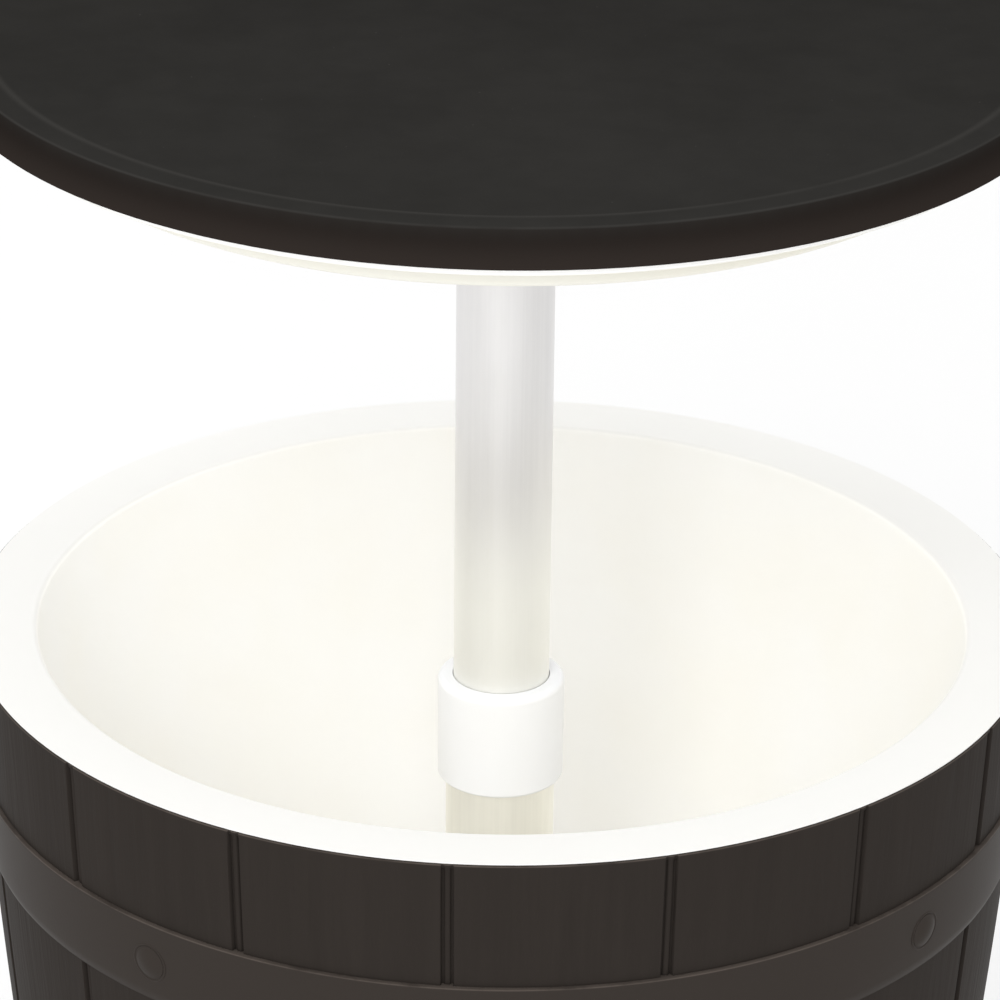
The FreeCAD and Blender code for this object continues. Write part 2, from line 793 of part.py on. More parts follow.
def lower_tube():
    body = new_body("lower_tube")
    revolve(body, rectangle(sketch_on(body, "section"), W.tube_bore, S.tube_radius, W.floor_top, W.tube_top))
    hole = sketch_on(body, "screw_hole", "YZ_Plane")
    circle(hole, 0, W.tube_top - S.bush_screw_drop, S.bush_screw_radius + S.press_gap)
    pocket(body, hole, both=True)


def tube_foot_plug():
    """Plastic plug in the tube's lower end, which takes the screw from under the barrel."""
    body = new_body("tube_foot_plug")
    radius = W.tube_bore - S.press_gap
    hole = S.foot_screw_radius + S.press_gap
    low = W.floor_top
    high = low + S.foot_plug_height
    post = hole + S.foot_plug_wall
    cup = radius - S.foot_plug_wall
    revolve(body, outline(sketch_on(body, "section"), [
        (hole, low), (radius, low), (radius, high), (cup, high), (cup, low + S.foot_plug_wall),
        (post, low + S.foot_plug_wall), (post, high), (hole, high),
    ]))


def tube_foot_screw():
    body = new_body("tube_foot_screw")
    low = S.floor_rise - S.foot_screw_head_height
    high = S.floor_rise + S.foot_screw_length
    chamfer = S.foot_screw_head_chamfer
    revolve(body, outline(sketch_on(body, "section"), [
        (0, low), (S.foot_screw_head_radius - chamfer, low), (S.foot_screw_head_radius, low + chamfer),
        (S.foot_screw_head_radius, S.floor_rise), (S.foot_screw_radius, S.floor_rise),
        (S.foot_screw_radius, high), (0, high),
    ]))


def clamp_bush():
    """Bush in the tube's top end, with spring fingers that grip the pole when they are pressed."""
    body = new_body("clamp_bush")
    bore = S.pole_radius + S.clamp_gap
    low = W.tube_top - S.bush_insert
    revolve(body, outline(sketch_on(body, "section"), [
        (bore, low), (W.tube_bore - S.press_gap, low), (W.tube_bore - S.press_gap, W.tube_top),
        (S.bush_shoulder_radius, W.tube_top), (S.bush_shoulder_radius, W.shoulder_top),
        (S.finger_radius, W.shoulder_top), (S.finger_radius, W.finger_top), (bore, W.finger_top),
    ]))
    land = sketch_on(body, "land", "XY_Plane", lift=W.shoulder_top + S.bush_shoulder_height)
    ring_sector(land, S.finger_radius - S.finger_land, W.land_radius, S.finger_land_angle)
    height = W.finger_top - W.shoulder_top - S.bush_shoulder_height
    polar(body, [pad(body, land, height)], S.land_count)
    slot = sketch_on(body, "slot", "XY_Plane", lift=W.finger_top)
    half = S.finger_slot / 2
    rectangle(slot, bore - S.overcut, W.land_radius + S.overcut, -half, half)
    depth = W.finger_top - W.shoulder_top - S.finger_root
    polar(body, [pocket(body, slot, depth)], S.finger_slot_count, grows=False)
    hole = sketch_on(body, "screw_hole", "YZ_Plane")
    circle(hole, 0, W.tube_top - S.bush_screw_drop, S.bush_screw_radius + S.press_gap)
    pocket(body, hole, both=True)


def bush_screws():
    """Headless screws through the tube into the clamp bush, hidden by the collar."""
    body = new_body("bush_screws")
    inner = S.pole_radius + S.clamp_gap
    sketch = sketch_on(body, "shank", "YZ_Plane", lift=inner)
    circle(sketch, 0, W.tube_top - S.bush_screw_drop, S.bush_screw_radius)
    polar(body, [pad(body, sketch, S.tube_radius - S.bush_screw_sink - inner)], S.bush_screw_count)


def lock_collar():
    """White collar that is turned to press the clamp's fingers on the pole."""
    body = new_body("lock_collar")
    hole = S.pole_radius + S.clamp_gap
    tube_bore = S.tube_radius + S.moving_gap
    groove = S.bush_shoulder_radius + S.moving_gap
    bore = W.land_radius + S.moving_gap
    foot = S.collar_radius - S.collar_draft
    revolve(body, outline(sketch_on(body, "section"), [
        (hole, W.collar_top), (S.collar_radius, W.collar_top), (foot, W.collar_bottom),
        (tube_bore, W.collar_bottom), (tube_bore, W.tube_top - S.moving_gap),
        (groove, W.tube_top - S.moving_gap), (groove, W.shoulder_top + S.moving_gap),
        (bore, W.shoulder_top + S.moving_gap), (bore, W.finger_top + S.moving_gap),
        (hole, W.finger_top + S.moving_gap),
    ]))
    soften(body, S.collar_top_rounding, [(S.collar_radius, W.collar_top)])
    soften(body, S.collar_bottom_rounding, [(foot, W.collar_bottom)])
    start = W.shoulder_top + S.moving_gap
    relief = sketch_on(body, "relief", "XY_Plane", lift=start)
    # With the collar locked the reliefs lie between the fingers' lands
    ring_sector(relief, bore - S.overcut, bore + S.collar_relief, S.collar_relief_angle)
    cut = pocket(body, relief, W.finger_top + S.moving_gap - start, up=True)
    polar(body, [cut], S.land_count, grows=False)
    turn = Size(180.0, "180") / S.land_count
    body.Placement = FreeCAD.Placement(FreeCAD.Vector(), FreeCAD.Rotation(FreeCAD.Vector(0, 0, 1), turn.value))
    body.setExpression("Placement.Rotation.Angle", turn.text)


# Pole


def upper_pole():
    body = new_body("upper_pole")
    revolve(body, rectangle(sketch_on(body, "section"), W.pole_bore, S.pole_radius, W.pole_bottom, W.pole_top))
    hole = sketch_on(body, "screw_hole", "YZ_Plane")
    circle(hole, 0, W.hub_bottom + S.pole_screw_rise, S.pole_screw_radius + S.press_gap)
    pocket(body, hole, both=True)


def guide_bush():
    """Bush that slides in the tube and carries the pole's lower end, free to turn in it.

    Its upper end meets the clamp bush, which stops the pole when it is fully up.
    """
    body = new_body("guide_bush")
    bore = S.pole_radius + S.running_gap
    outer = W.tube_bore - S.running_gap
    lip_top = W.pole_bottom - S.moving_gap
    lip_low = lip_top - S.guide_lip
    lip_bore = S.pole_radius - S.guide_lip_reach
    high = W.pole_bottom + S.guide_height
    revolve(body, outline(sketch_on(body, "section"), [
        (lip_bore, lip_low), (outer, lip_low), (outer, high), (bore, high), (bore, lip_top), (lip_bore, lip_top),
    ]))


def pole_end_plug():
    """Plug pressed in the pole's lower end, whose flange keeps the guide bush on."""
    body = new_body("pole_end_plug")
    radius = W.pole_bore - S.press_gap
    neck = S.pole_radius - S.guide_lip_reach - S.moving_gap
    flange_top = W.pole_bottom - S.guide_lip - S.moving_gap * 2
    low = flange_top - S.end_plug_flange
    high = W.pole_bottom + S.end_plug_height
    hollow = neck - S.end_plug_wall
    revolve(body, outline(sketch_on(body, "section"), [
        (0, low), (S.pole_radius, low), (S.pole_radius, flange_top), (neck, flange_top),
        (neck, W.pole_bottom), (radius, W.pole_bottom), (radius, high), (hollow, high),
        (hollow, flange_top), (0, flange_top),
    ]))


# Lid


def lid_hub():
    """Socket under the table top that the pole is pushed into, with a flange and ribs."""
    body = new_body("lid_hub")
    bore = S.pole_radius + S.press_gap
    under = W.hub_top - S.hub_flange_thickness
    revolve(body, outline(sketch_on(body, "section"), [
        (0, W.hub_top), (S.hub_flange_radius, W.hub_top), (S.hub_flange_radius, under), (W.hub_radius, under),
        (W.hub_radius, W.hub_bottom), (bore, W.hub_bottom), (bore, W.pole_top), (0, W.pole_top),
    ]))
    rib = sketch_on(body, "rib", turn=as_size(180) / S.hub_rib_count)
    buried = W.hub_radius - S.hub_wall / 2
    skin = under + S.hub_flange_thickness / 2
    reach = S.hub_flange_radius - S.hub_rib_inset
    outline(rib, [
        (buried, skin), (reach, skin), (reach, under),
        (W.hub_radius, under - S.hub_rib_depth), (buried, under - S.hub_rib_depth),
    ])
    polar(body, [pad(body, rib, S.hub_rib_thickness, both=True)], S.hub_rib_count)
    hole = sketch_on(body, "screw_hole", "XY_Plane", lift=W.hub_top)
    circle(hole, S.hub_screw_circle, 0, S.hub_screw_radius + S.fixed_gap)
    polar(body, [pocket(body, hole, S.hub_flange_thickness)], S.hub_screw_count, grows=False)
    side = sketch_on(body, "set_screw_hole", "YZ_Plane")
    circle(side, 0, W.hub_bottom + S.pole_screw_rise, S.pole_screw_radius + S.press_gap)
    pocket(body, side, both=True)


def pole_screws():
    """Headless screws through the hub's socket into the pole."""
    body = new_body("pole_screws")
    sketch = sketch_on(body, "shank", "YZ_Plane", lift=W.pole_bore)
    circle(sketch, 0, W.hub_bottom + S.pole_screw_rise, S.pole_screw_radius)
    polar(body, [pad(body, sketch, W.hub_radius - W.pole_bore)], S.pole_screw_count)


def screw_set(label, circle_radius, count, seat, shank, head, head_height, length):
    """Pan-head screws that point up, in a circle, with their heads under a seat."""
    body = new_body(label)
    body_head = sketch_on(body, "head", "XY_Plane", lift=seat)
    first = pad(body, circle(body_head, circle_radius, 0, head), head_height, down=True)
    body_shank = sketch_on(body, "shank", "XY_Plane", lift=seat - head_height)
    second = pad(body, circle(body_shank, circle_radius, 0, shank), length + head_height)
    polar(body, [first, second], count)


def hub_screws():
    screw_set(
        "hub_screws", S.hub_screw_circle, S.hub_screw_count, W.hub_top - S.hub_flange_thickness,
        S.hub_screw_radius, S.hub_screw_head_radius, S.hub_screw_head_height, S.hub_screw_length)


def liner_height(radius):
    """Height of the liner's domed bottom face at a radius."""
    reach = S.liner_plug_radius
    return W.liner_bottom + S.liner_dome * (reach - radius) / (reach - W.hub_radius)


def liner_screws():
    screw_set(
        "liner_screws", S.liner_screw_circle, S.liner_screw_count,
        liner_height(S.liner_screw_circle + S.liner_screw_head_radius),
        S.liner_screw_radius, S.liner_screw_head_radius, S.liner_screw_head_height, S.liner_screw_length)


def tabletop_outline():
    """Section of the table top: raised lip, shallow recess, skirt and the pad for the hub."""
    lip = S.top_crest_radius - S.top_lip_width
    return [
        (0, W.top_face),
        (lip - S.top_lip_slope, W.top_face),
        (lip, W.top_crest),
        (S.top_crest_radius, W.top_crest),
        (S.top_edge_radius, W.skirt_bottom),
        (S.top_edge_radius - S.top_skirt_wall, W.skirt_bottom),
        (S.top_crest_radius - S.top_skirt_wall, W.top_underside),
        (S.hub_pad_radius, W.top_underside),
        (S.hub_pad_radius, W.hub_top),
        (0, W.hub_top),
    ]


def tabletop():
    body = new_body("tabletop")
    revolve(body, outline(sketch_on(body, "section"), tabletop_outline()))
    soften(body, S.top_crest_rounding, [(S.top_crest_radius, W.top_crest)])
    soften(body, S.top_foot_rounding, [(S.top_edge_radius, W.skirt_bottom)])
    skin = W.top_underside + S.top_wall / 2
    ring = sketch_on(body, "ring_rib")
    rectangle(ring, S.top_ring_rib_radius, S.top_ring_rib_radius + S.top_rib_thickness, W.liner_rim_top, skin)
    revolve(body, ring)
    rib = sketch_on(body, "rib", turn=as_size(180) / S.top_rib_count)
    reach = S.top_crest_radius - S.top_skirt_wall + S.bury
    rectangle(rib, S.hub_pad_radius - S.bury, reach, W.liner_rim_top, skin)
    polar(body, [pad(body, rib, S.top_rib_thickness, both=True)], S.top_rib_count)
    boss_foot = liner_height(S.liner_screw_circle - S.liner_boss_radius) + S.liner_wall
    boss = sketch_on(body, "boss", "XY_Plane", lift=boss_foot)
    circle(boss, S.liner_screw_circle, 0, S.liner_boss_radius)
    polar(body, [pad(body, boss, skin - boss_foot)], S.liner_screw_count)
    pilot = sketch_on(body, "pilot", "XY_Plane", lift=boss_foot)
    circle(pilot, S.liner_screw_circle, 0, S.liner_screw_radius + S.press_gap)
    cut = pocket(body, pilot, S.liner_screw_length, up=True)
    polar(body, [cut], S.liner_screw_count, grows=False)
    hub_pilot = sketch_on(body, "hub_pilot", "XY_Plane", lift=W.hub_top)
    circle(hub_pilot, S.hub_screw_circle, 0, S.hub_screw_radius + S.press_gap)
    hub_cut = pocket(body, hub_pilot, S.hub_screw_length - S.hub_flange_thickness + S.overcut, up=True)
    polar(body, [hub_cut], S.hub_screw_count, grows=False)


def lid_liner():
    """White underside of the lid: a seat that rests on the tub's flange and a plug inside it."""
    body = new_body("lid_liner")
    rim = S.top_edge_radius - S.top_skirt_wall - S.moving_gap * 2
    wall = S.liner_wall
    hole = W.hub_radius + S.moving_gap * 2
    revolve(body, outline(sketch_on(body, "section"), [
        (S.liner_seat_radius - wall, W.liner_rim_top),
        (rim, W.liner_rim_top),
        (rim, W.liner_rim_top - S.liner_rim_thickness),
        (S.liner_seat_radius, W.liner_rim_top - S.liner_rim_thickness),
        (S.liner_seat_radius, W.liner_seat),
        (S.liner_plug_radius, W.liner_seat),
        (S.liner_plug_radius, W.liner_bottom),
        (hole, liner_height(hole)),
        (hole, liner_height(hole) + wall),
        (S.liner_plug_radius - wall, W.liner_bottom + wall),
        (S.liner_plug_radius - wall, W.liner_seat + wall),
        (S.liner_seat_radius - wall, W.liner_seat + wall),
    ]))
    soften(body, S.liner_plug_rounding, [(S.liner_plug_radius, W.liner_bottom)])
    soften(body, S.liner_seat_rounding, [(S.liner_seat_radius, W.liner_seat)])
    bolt = sketch_on(body, "screw_hole", "XY_Plane", lift=liner_height(S.liner_screw_circle) - wall)
    circle(bolt, S.liner_screw_circle, 0, S.liner_screw_radius + S.fixed_gap)
    polar(body, [pocket(body, bolt, wall * 3, up=True)], S.liner_screw_count, grows=False)


# Drain


def drain_pipe():
    """Pipe from the tub's spigot down through the barrel's floor, which its flange stands on."""
    body = new_body("drain_pipe")
    high = W.tub_floor - S.tub_wall - S.fixed_gap
    revolve(body, outline(sketch_on(body, "section"), [
        (W.pipe_bore, S.pipe_end_rise), (W.pipe_radius, S.pipe_end_rise), (W.pipe_radius, W.floor_top),
        (S.pipe_flange_radius, W.floor_top), (S.pipe_flange_radius, W.floor_top + S.pipe_flange_thickness),
        (W.pipe_radius, W.floor_top + S.pipe_flange_thickness), (W.pipe_radius, high), (W.pipe_bore, high),
    ]))
    place_at_drain(body)


def place_at_drain(body):
    body.Placement = FreeCAD.Placement(FreeCAD.Vector(0, S.drain_offset.value, 0), FreeCAD.Rotation())
    body.setExpression("Placement.Base.y", S.drain_offset.text)


def seat_level():
    return W.tub_floor - S.drain_recess + S.moving_gap


def drain_plug():
    """Stopper in the tub's floor, with a flat grip to pull it out by."""
    body = new_body("drain_plug")
    under = seat_level() + S.plug_seal_height
    high = under + S.plug_head_height
    stopper = S.drain_hole_radius - S.moving_gap
    low = under - S.plug_stopper_length
    revolve(body, outline(sketch_on(body, "section"), [
        (0, low), (stopper - S.plug_stopper_taper, low), (stopper, low + S.plug_stopper_lead), (stopper, under),
        (S.plug_head_radius, under), (S.plug_head_radius, high), (0, high),
    ]))
    soften(body, S.plug_head_height / 3, [(S.plug_head_radius, high)])
    half = S.plug_grip_width / 2
    grip = sketch_on(body, "grip")
    top = high + S.plug_grip_height
    shoulder = top - half
    reach = half * root(as_size(2)) / 2
    outline(grip, [
        (-half, high - S.bury), (half, high - S.bury), (half, shoulder), Bend(half, reach, shoulder + reach),
        (0, top), Bend(half, -reach, shoulder + reach), (-half, shoulder),
    ])
    pad(body, grip, S.plug_grip_thickness, both=True)
    place_at_drain(body)


def plug_seal():
    """Rubber washer under the stopper's head."""
    body = new_body("plug_seal")
    inner = S.drain_hole_radius - S.moving_gap + S.press_gap
    low = seat_level()
    revolve(body, rectangle(sketch_on(body, "section"), inner, S.plug_seal_radius, low, low + S.plug_seal_height))
    place_at_drain(body)


PIECES = (
    barrel_shell, tub_liner, tube_seal, sleeve_cap, lower_tube, tube_foot_plug, tube_foot_screw,
    clamp_bush, bush_screws, lock_collar, upper_pole, guide_bush, pole_end_plug, lid_hub, pole_screws,
    hub_screws, liner_screws, tabletop, lid_liner, drain_pipe, drain_plug, plug_seal,
)


def check_document():
    """Stop if any object failed or any piece has no valid solid."""
    for item in DOC.Objects:
        if "Invalid" in item.State or "Error" in item.State:
            raise RuntimeError("%s is in state %s" % (item.Name, item.State))
    for body in bodies():
        if body.Shape.isNull() or not body.Shape.isValid():
            raise RuntimeError("%s has no valid shape" % body.Label)


def bodies():
    return [item for item in DOC.Objects if item.TypeId == "PartDesign::Body"]


def main():
    work_out_levels()
    work_out_bow()
    for make in PIECES:
        make()
    DOC.recompute()
    check_document()
    os.makedirs("parts", exist_ok=True)
    for body in bodies():
        body.Shape.exportStep("parts/%s.step" % body.Label)
        print("%s: %d solid(s), %.0f mm3" % (body.Label, len(body.Shape.Solids), body.Shape.Volume))


main()
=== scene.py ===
"""Looks for a cooler table: a staved barrel with an ice tub, and a round table top on a pole.

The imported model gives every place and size. The barrel, the tub, the rivets and the screws in sight are
made anew here with finer detail, the table top is a reshaped copy, and every other piece gets its finish.
Lengths are in metres, the ground is Z = 0 and the front is -Y.
"""
import math

import bmesh
import bpy
from bpy.props import FloatProperty, FloatVectorProperty, IntProperty, PointerProperty
from mathutils import Matrix, Vector


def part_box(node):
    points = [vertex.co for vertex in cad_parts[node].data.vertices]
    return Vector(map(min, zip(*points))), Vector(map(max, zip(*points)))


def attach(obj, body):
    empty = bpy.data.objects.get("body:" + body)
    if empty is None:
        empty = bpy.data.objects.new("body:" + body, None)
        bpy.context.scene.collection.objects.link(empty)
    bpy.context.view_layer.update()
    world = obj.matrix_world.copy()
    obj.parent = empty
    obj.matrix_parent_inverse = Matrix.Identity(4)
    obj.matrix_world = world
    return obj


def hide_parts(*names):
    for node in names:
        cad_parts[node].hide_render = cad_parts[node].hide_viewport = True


bl_info = {
    "name": "Cooler table",
    "version": (1, 0, 0),
    "blender": (4, 5, 0),
    "location": "3D View > Sidebar > Cooler table",
    "description": "Builds the looks of a cooler table with a lid round its packed model",
    "category": "Object",
}

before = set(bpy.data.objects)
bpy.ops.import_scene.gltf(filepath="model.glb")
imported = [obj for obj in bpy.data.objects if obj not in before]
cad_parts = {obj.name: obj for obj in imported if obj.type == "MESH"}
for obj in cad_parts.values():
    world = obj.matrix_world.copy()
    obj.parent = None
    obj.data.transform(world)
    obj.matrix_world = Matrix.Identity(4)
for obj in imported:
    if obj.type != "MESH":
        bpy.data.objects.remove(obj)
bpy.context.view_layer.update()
MM = 0.001

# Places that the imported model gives

RIM_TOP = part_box("tub_liner")[1].z
TABLE_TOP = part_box("tabletop")[1].z
# The lid's seat, above the liner's plug that is 15.4 mm deep
LID_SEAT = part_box("lid_liner")[0].z + 15.4 * MM
COLLAR_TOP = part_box("lock_collar")[1].z
DRAIN_MIDDLE = (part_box("drain_pipe")[0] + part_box("drain_pipe")[1]) / 2
DRAIN = Matrix.Translation((DRAIN_MIDDLE.x, DRAIN_MIDDLE.y, 0.0))

# Sizes that no user changes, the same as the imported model's where no comment says otherwise

# Barrel: its lip is 0.5 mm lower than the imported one, under the edge of the tub's flange
LIP_TOP = RIM_TOP - 0.5 * MM
LIP_CHAMFER = 0.4 * MM
LIP_INNER = 244.8 * MM
LEDGE = RIM_TOP - 2.5 * MM
RIM_RADIUS = 246.0 * MM
FOOT_RADIUS = 181.0 * MM
FOOT_RISE = 6.0 * MM
BOW_RADIUS = 3830.0 * MM
SHELL_WALL = 3.5 * MM
RING_OUTER, RING_INNER, RING_CHAMFER = 172.0 * MM, 168.0 * MM, 0.4 * MM
FLOOR_TOP, FLOOR_LOW, FLOOR_HALFWAY = 11.0 * MM, 8.0 * MM, 90.0 * MM
BOSS_OUTER, BOSS_INNER, BOSS_END = 14.0 * MM, 9.0 * MM, 2.0 * MM
SOCKET_OUTER, SOCKET_TOP = 28.65 * MM, 56.0 * MM
SCREW_HOLE = 3.3 * MM
TUBE_HOLE = 25.65 * MM
GUSSET_REACH = 58.6 * MM
# Across half a groove: distance from its middle, and the share of its depth there
GROOVE_SECTION = (
    (0.0, 0.58), (0.26, 0.60), (0.42, 0.70), (0.58, 1.10), (0.88, 1.10), (1.0, 0.16), (1.12, 0.0),
    (1.4, 0.0))
FACE_COLUMNS = 19
# Round a rivet's dome: share of its radius, and height over the hoop
RIVET_EDGE = (
    (0.97, 0.30 * MM), (0.985, 0.02 * MM), (1.03, 0.0), (1.06, 0.22 * MM), (1.10, 0.26 * MM), (1.15, 0.0),
    (1.15, -1.2 * MM))

# Tub: its flange is 0.8 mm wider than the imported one
FLANGE_RADIUS = 245.4 * MM
FLANGE_NECK = 243.9 * MM
FLANGE_DISH = 1.0 * MM
TUB_DEPTH = 270.0 * MM
TUB_WALL = 2.5 * MM
TUB_FLOOR = RIM_TOP - TUB_DEPTH
TUB_UNDER = TUB_FLOOR - TUB_WALL
TUB_MOUTH, TUB_FOOT = 215.4 * MM, 166.0 * MM
SLEEVE_TOP = TUB_FLOOR + 60.0 * MM
SLEEVE_OUTER, SLEEVE_FOOT = 30.65 * MM, 33.65 * MM
SEAL_RADIUS, SEAL_DEPTH = 28.1 * MM, 6.0 * MM

# Table top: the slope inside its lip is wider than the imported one
CREST_RADIUS = 245.2 * MM
PACKED_SLOPE = 236.5 * MM
SLOPE_TOP, SLOPE_FOOT = 234.0 * MM, 228.5 * MM
SKIRT_END = TABLE_TOP - 18.0 * MM

# Screw's head: shares of its radius and of its height
SCREW_HEAD = ((0.45, 0.97), (0.80, 0.78), (0.96, 0.42), (1.0, 0.12), (1.0, 0.0))


# Sizes and colours that a user would change

COLOUR = {"subtype": "COLOR", "size": 3, "min": 0.0, "max": 1.0}


class BarrelSizes(bpy.types.PropertyGroup):
    """Sizes of the staved barrel."""

    staves: IntProperty(name="Staves", description="Staves round the barrel", default=16, min=6)
    first_groove: FloatProperty(
        name="First groove", description="Angle of one groove, from +X towards +Y",
        default=math.radians(-95.1), subtype="ANGLE")
    groove_width: FloatProperty(
        name="Groove width", description="Width of the channel between two staves", default=5.5 * MM,
        unit="LENGTH")
    groove_depth: FloatProperty(
        name="Groove depth", description="Depth of the channel between two staves", default=2.0 * MM,
        unit="LENGTH")
    hoop_width: FloatProperty(
        name="Hoop width", description="Height of a hoop's band", default=40.5 * MM, unit="LENGTH")
    hoop_proud: FloatProperty(
        name="Hoop proud", description="How far a hoop stands out of the staves", default=2.0 * MM,
        unit="LENGTH")
    upper_hoop: FloatProperty(
        name="Upper hoop", description="Height of the upper hoop's lower edge", default=450.0 * MM,
        unit="LENGTH")
    lower_hoop: FloatProperty(
        name="Lower hoop", description="Height of the lower hoop's lower edge", default=60.5 * MM,
        unit="LENGTH")
    grain_depth: FloatProperty(
        name="Grain depth", description="Depth of the moulded wood grain", default=0.22 * MM,
        unit="LENGTH", precision=5)
    grain_width: FloatProperty(
        name="Grain width", description="Distance between two streaks of the grain", default=11.0 * MM,
        unit="LENGTH")
    rivets: IntProperty(name="Rivets", description="Rivets on each hoop", default=4, min=1)
    rivet_radius: FloatProperty(
        name="Rivet radius", description="Radius of a rivet's head", default=8.2 * MM, unit="LENGTH")
    rivet_rise: FloatProperty(
        name="Rivet rise", description="Height of a rivet's head over the hoop", default=2.2 * MM,
        unit="LENGTH")


class Finishes(bpy.types.PropertyGroup):
    """Colours of the plastics and metals."""

    barrel: FloatVectorProperty(
        name="Barrel", description="Dark plastic of the barrel",
        default=(0.0238, 0.0196, 0.0169), **COLOUR)
    top: FloatVectorProperty(
        name="Table top", description="Dark plastic of the table top",
        default=(0.0215, 0.0207, 0.0193), **COLOUR)
    tub: FloatVectorProperty(
        name="Tub", description="White plastic of the tub and the lid's underside",
        default=(0.972, 0.968, 0.953), **COLOUR)
    collar: FloatVectorProperty(
        name="Collar", description="White plastic of the collar and the cap",
        default=(0.893, 0.902, 0.925), **COLOUR)
    pole: FloatVectorProperty(
        name="Pole", description="Satin aluminium of the pole",
        default=(0.790, 0.780, 0.775), **COLOUR)
    tube: FloatVectorProperty(
        name="Tube", description="Satin aluminium of the tube in the tub",
        default=(0.985, 0.972, 0.905), **COLOUR)


class Studio(bpy.types.PropertyGroup):
    """Floor, light and camera."""

    floor: FloatVectorProperty(
        name="Floor", description="Colour of the floor",
        default=(0.78, 0.78, 0.78), **COLOUR)
    glow: FloatProperty(
        name="Floor glow", description="Light that the floor, lit from below, gives off", default=0.10,
        min=0.0)
    sky: FloatProperty(
        name="Sky", description="Strength of the light from all round", default=1.10, min=0.0)
    key: FloatProperty(
        name="Key light", description="Power of the main light in watts", default=26.5, min=0.0,
        unit="POWER")
    distance: FloatProperty(
        name="Distance", description="From the rim's middle to the camera", default=2.4143, unit="LENGTH")
    elevation: FloatProperty(
        name="Elevation", description="Height angle of the camera over the rim", default=0.4519,
        subtype="ANGLE")
    tilt: FloatProperty(
        name="Tilt", description="Downward tilt of the camera", default=0.4306, subtype="ANGLE")
    turn: FloatProperty(
        name="Turn", description="Sideways turn of the camera", default=-0.0007, subtype="ANGLE")
    roll: FloatProperty(
        name="Roll", description="Roll of the camera about its line of sight", default=0.0117,
        subtype="ANGLE")
    lens: FloatProperty(
        name="Lens", description="Focal length in millimetres", default=186.84, min=1.0, unit="CAMERA")


# Node trees


class Board:
    """One node tree, to which nodes are added and wired."""

    def __init__(self, tree):
        self.tree = tree

    def feed(self, socket, value):
        if isinstance(value, bpy.types.NodeSocket):
            self.tree.links.new(value, socket)
        else:
            socket.default_value = value

    def add(self, kind, inputs=None, **settings):
        """Add a node, set its options, and give its inputs a value or another node's output."""
        node = self.tree.nodes.new(kind)
        for name, value in settings.items():
            setattr(node, name, value)
        for name, value in (inputs or {}).items():
            self.feed(node.inputs[name], value)
        return node

    def math(self, operation, first, second=0.0, third=0.0):
        node = self.add("ShaderNodeMath", {0: first, 1: second, 2: third}, operation=operation)
        return node.outputs[0]

    def vector(self, operation, first, second):
        node = self.add("ShaderNodeVectorMath", {0: first, 1: second}, operation=operation)
        return node.outputs[0]

    def spread(self, value, low, high, new_low=0.0, new_high=1.0):
        """Map a value's range smoothly to another, held inside it."""
        node = self.add("ShaderNodeMapRange", {
            "Value": value, "From Min": low, "From Max": high, "To Min": new_low, "To Max": new_high,
        }, interpolation_type="SMOOTHSTEP")
        return node.outputs[0]

    def noise(self, place, scale, detail=3.0, roughness=0.5, seed=0.0):
        node = self.add("ShaderNodeTexNoise", {
            "Vector": place, "W": seed, "Scale": scale, "Detail": detail, "Roughness": roughness,
        }, noise_dimensions="4D")
        return node.outputs[0]


def new_tree(name, kind, inputs, outputs):
    """A node tree with named inputs and outputs, each given with its type or its default number."""
    tree = bpy.data.node_groups.new(name, kind)
    for direction, sockets in (("INPUT", inputs), ("OUTPUT", outputs)):
        for label, given in sockets.items():
            numeric = not isinstance(given, str)
            socket_type = "NodeSocket" + (type(given).__name__.capitalize() if numeric else given)
            socket = tree.interface.new_socket(name=label, in_out=direction, socket_type=socket_type)
            if numeric:
                socket.default_value = given
    board = Board(tree)
    return board, board.add("NodeGroupInput").outputs, board.add("NodeGroupOutput").inputs


def plain_name(words):
    return words.replace("_", " ").capitalize()


def shared_tree(make):
    """The tree that a function makes, made the first time that it is asked for."""
    name = plain_name(make.__name__)
    return bpy.data.node_groups.get(name) or make(name)


# Effects that several finishes share


def streaks(name):
    """Streaks along the height, as of wood grain or drawn metal."""
    board, given, result = new_tree(name, "ShaderNodeTree", {
        "Place": "Vector", "Width": 0.003, "Length": 0.12, "Seed": 0.0}, {"Streak": "Float"})
    across = board.math("DIVIDE", 1.0, given["Width"])
    along = board.math("DIVIDE", 1.0, given["Length"])
    scale = board.add("ShaderNodeCombineXYZ", {"X": across, "Y": across, "Z": along}).outputs[0]
    place = board.vector("MULTIPLY", given["Place"], scale)
    streak = board.noise(place, 0.5, detail=4.0, roughness=0.62, seed=given["Seed"])
    board.feed(result["Streak"], board.spread(streak, 0.30, 0.70))
    return board.tree


def moulded_skin(name):
    """Fine pebbled skin of moulded plastic, with a broad mottle."""
    board, given, result = new_tree(name, "ShaderNodeTree", {
        "Place": "Vector", "Pebble": 0.0008, "Patch": 0.05}, {"Pebbles": "Float", "Mottle": "Float"})
    pebbles = board.noise(given["Place"], board.math("DIVIDE", 0.5, given["Pebble"]), detail=2.0)
    broad = board.noise(given["Place"], board.math("DIVIDE", 0.5, given["Patch"]), roughness=0.6)
    board.feed(result["Pebbles"], pebbles)
    board.feed(result["Mottle"], board.spread(broad, 0.32, 0.68))
    return board.tree


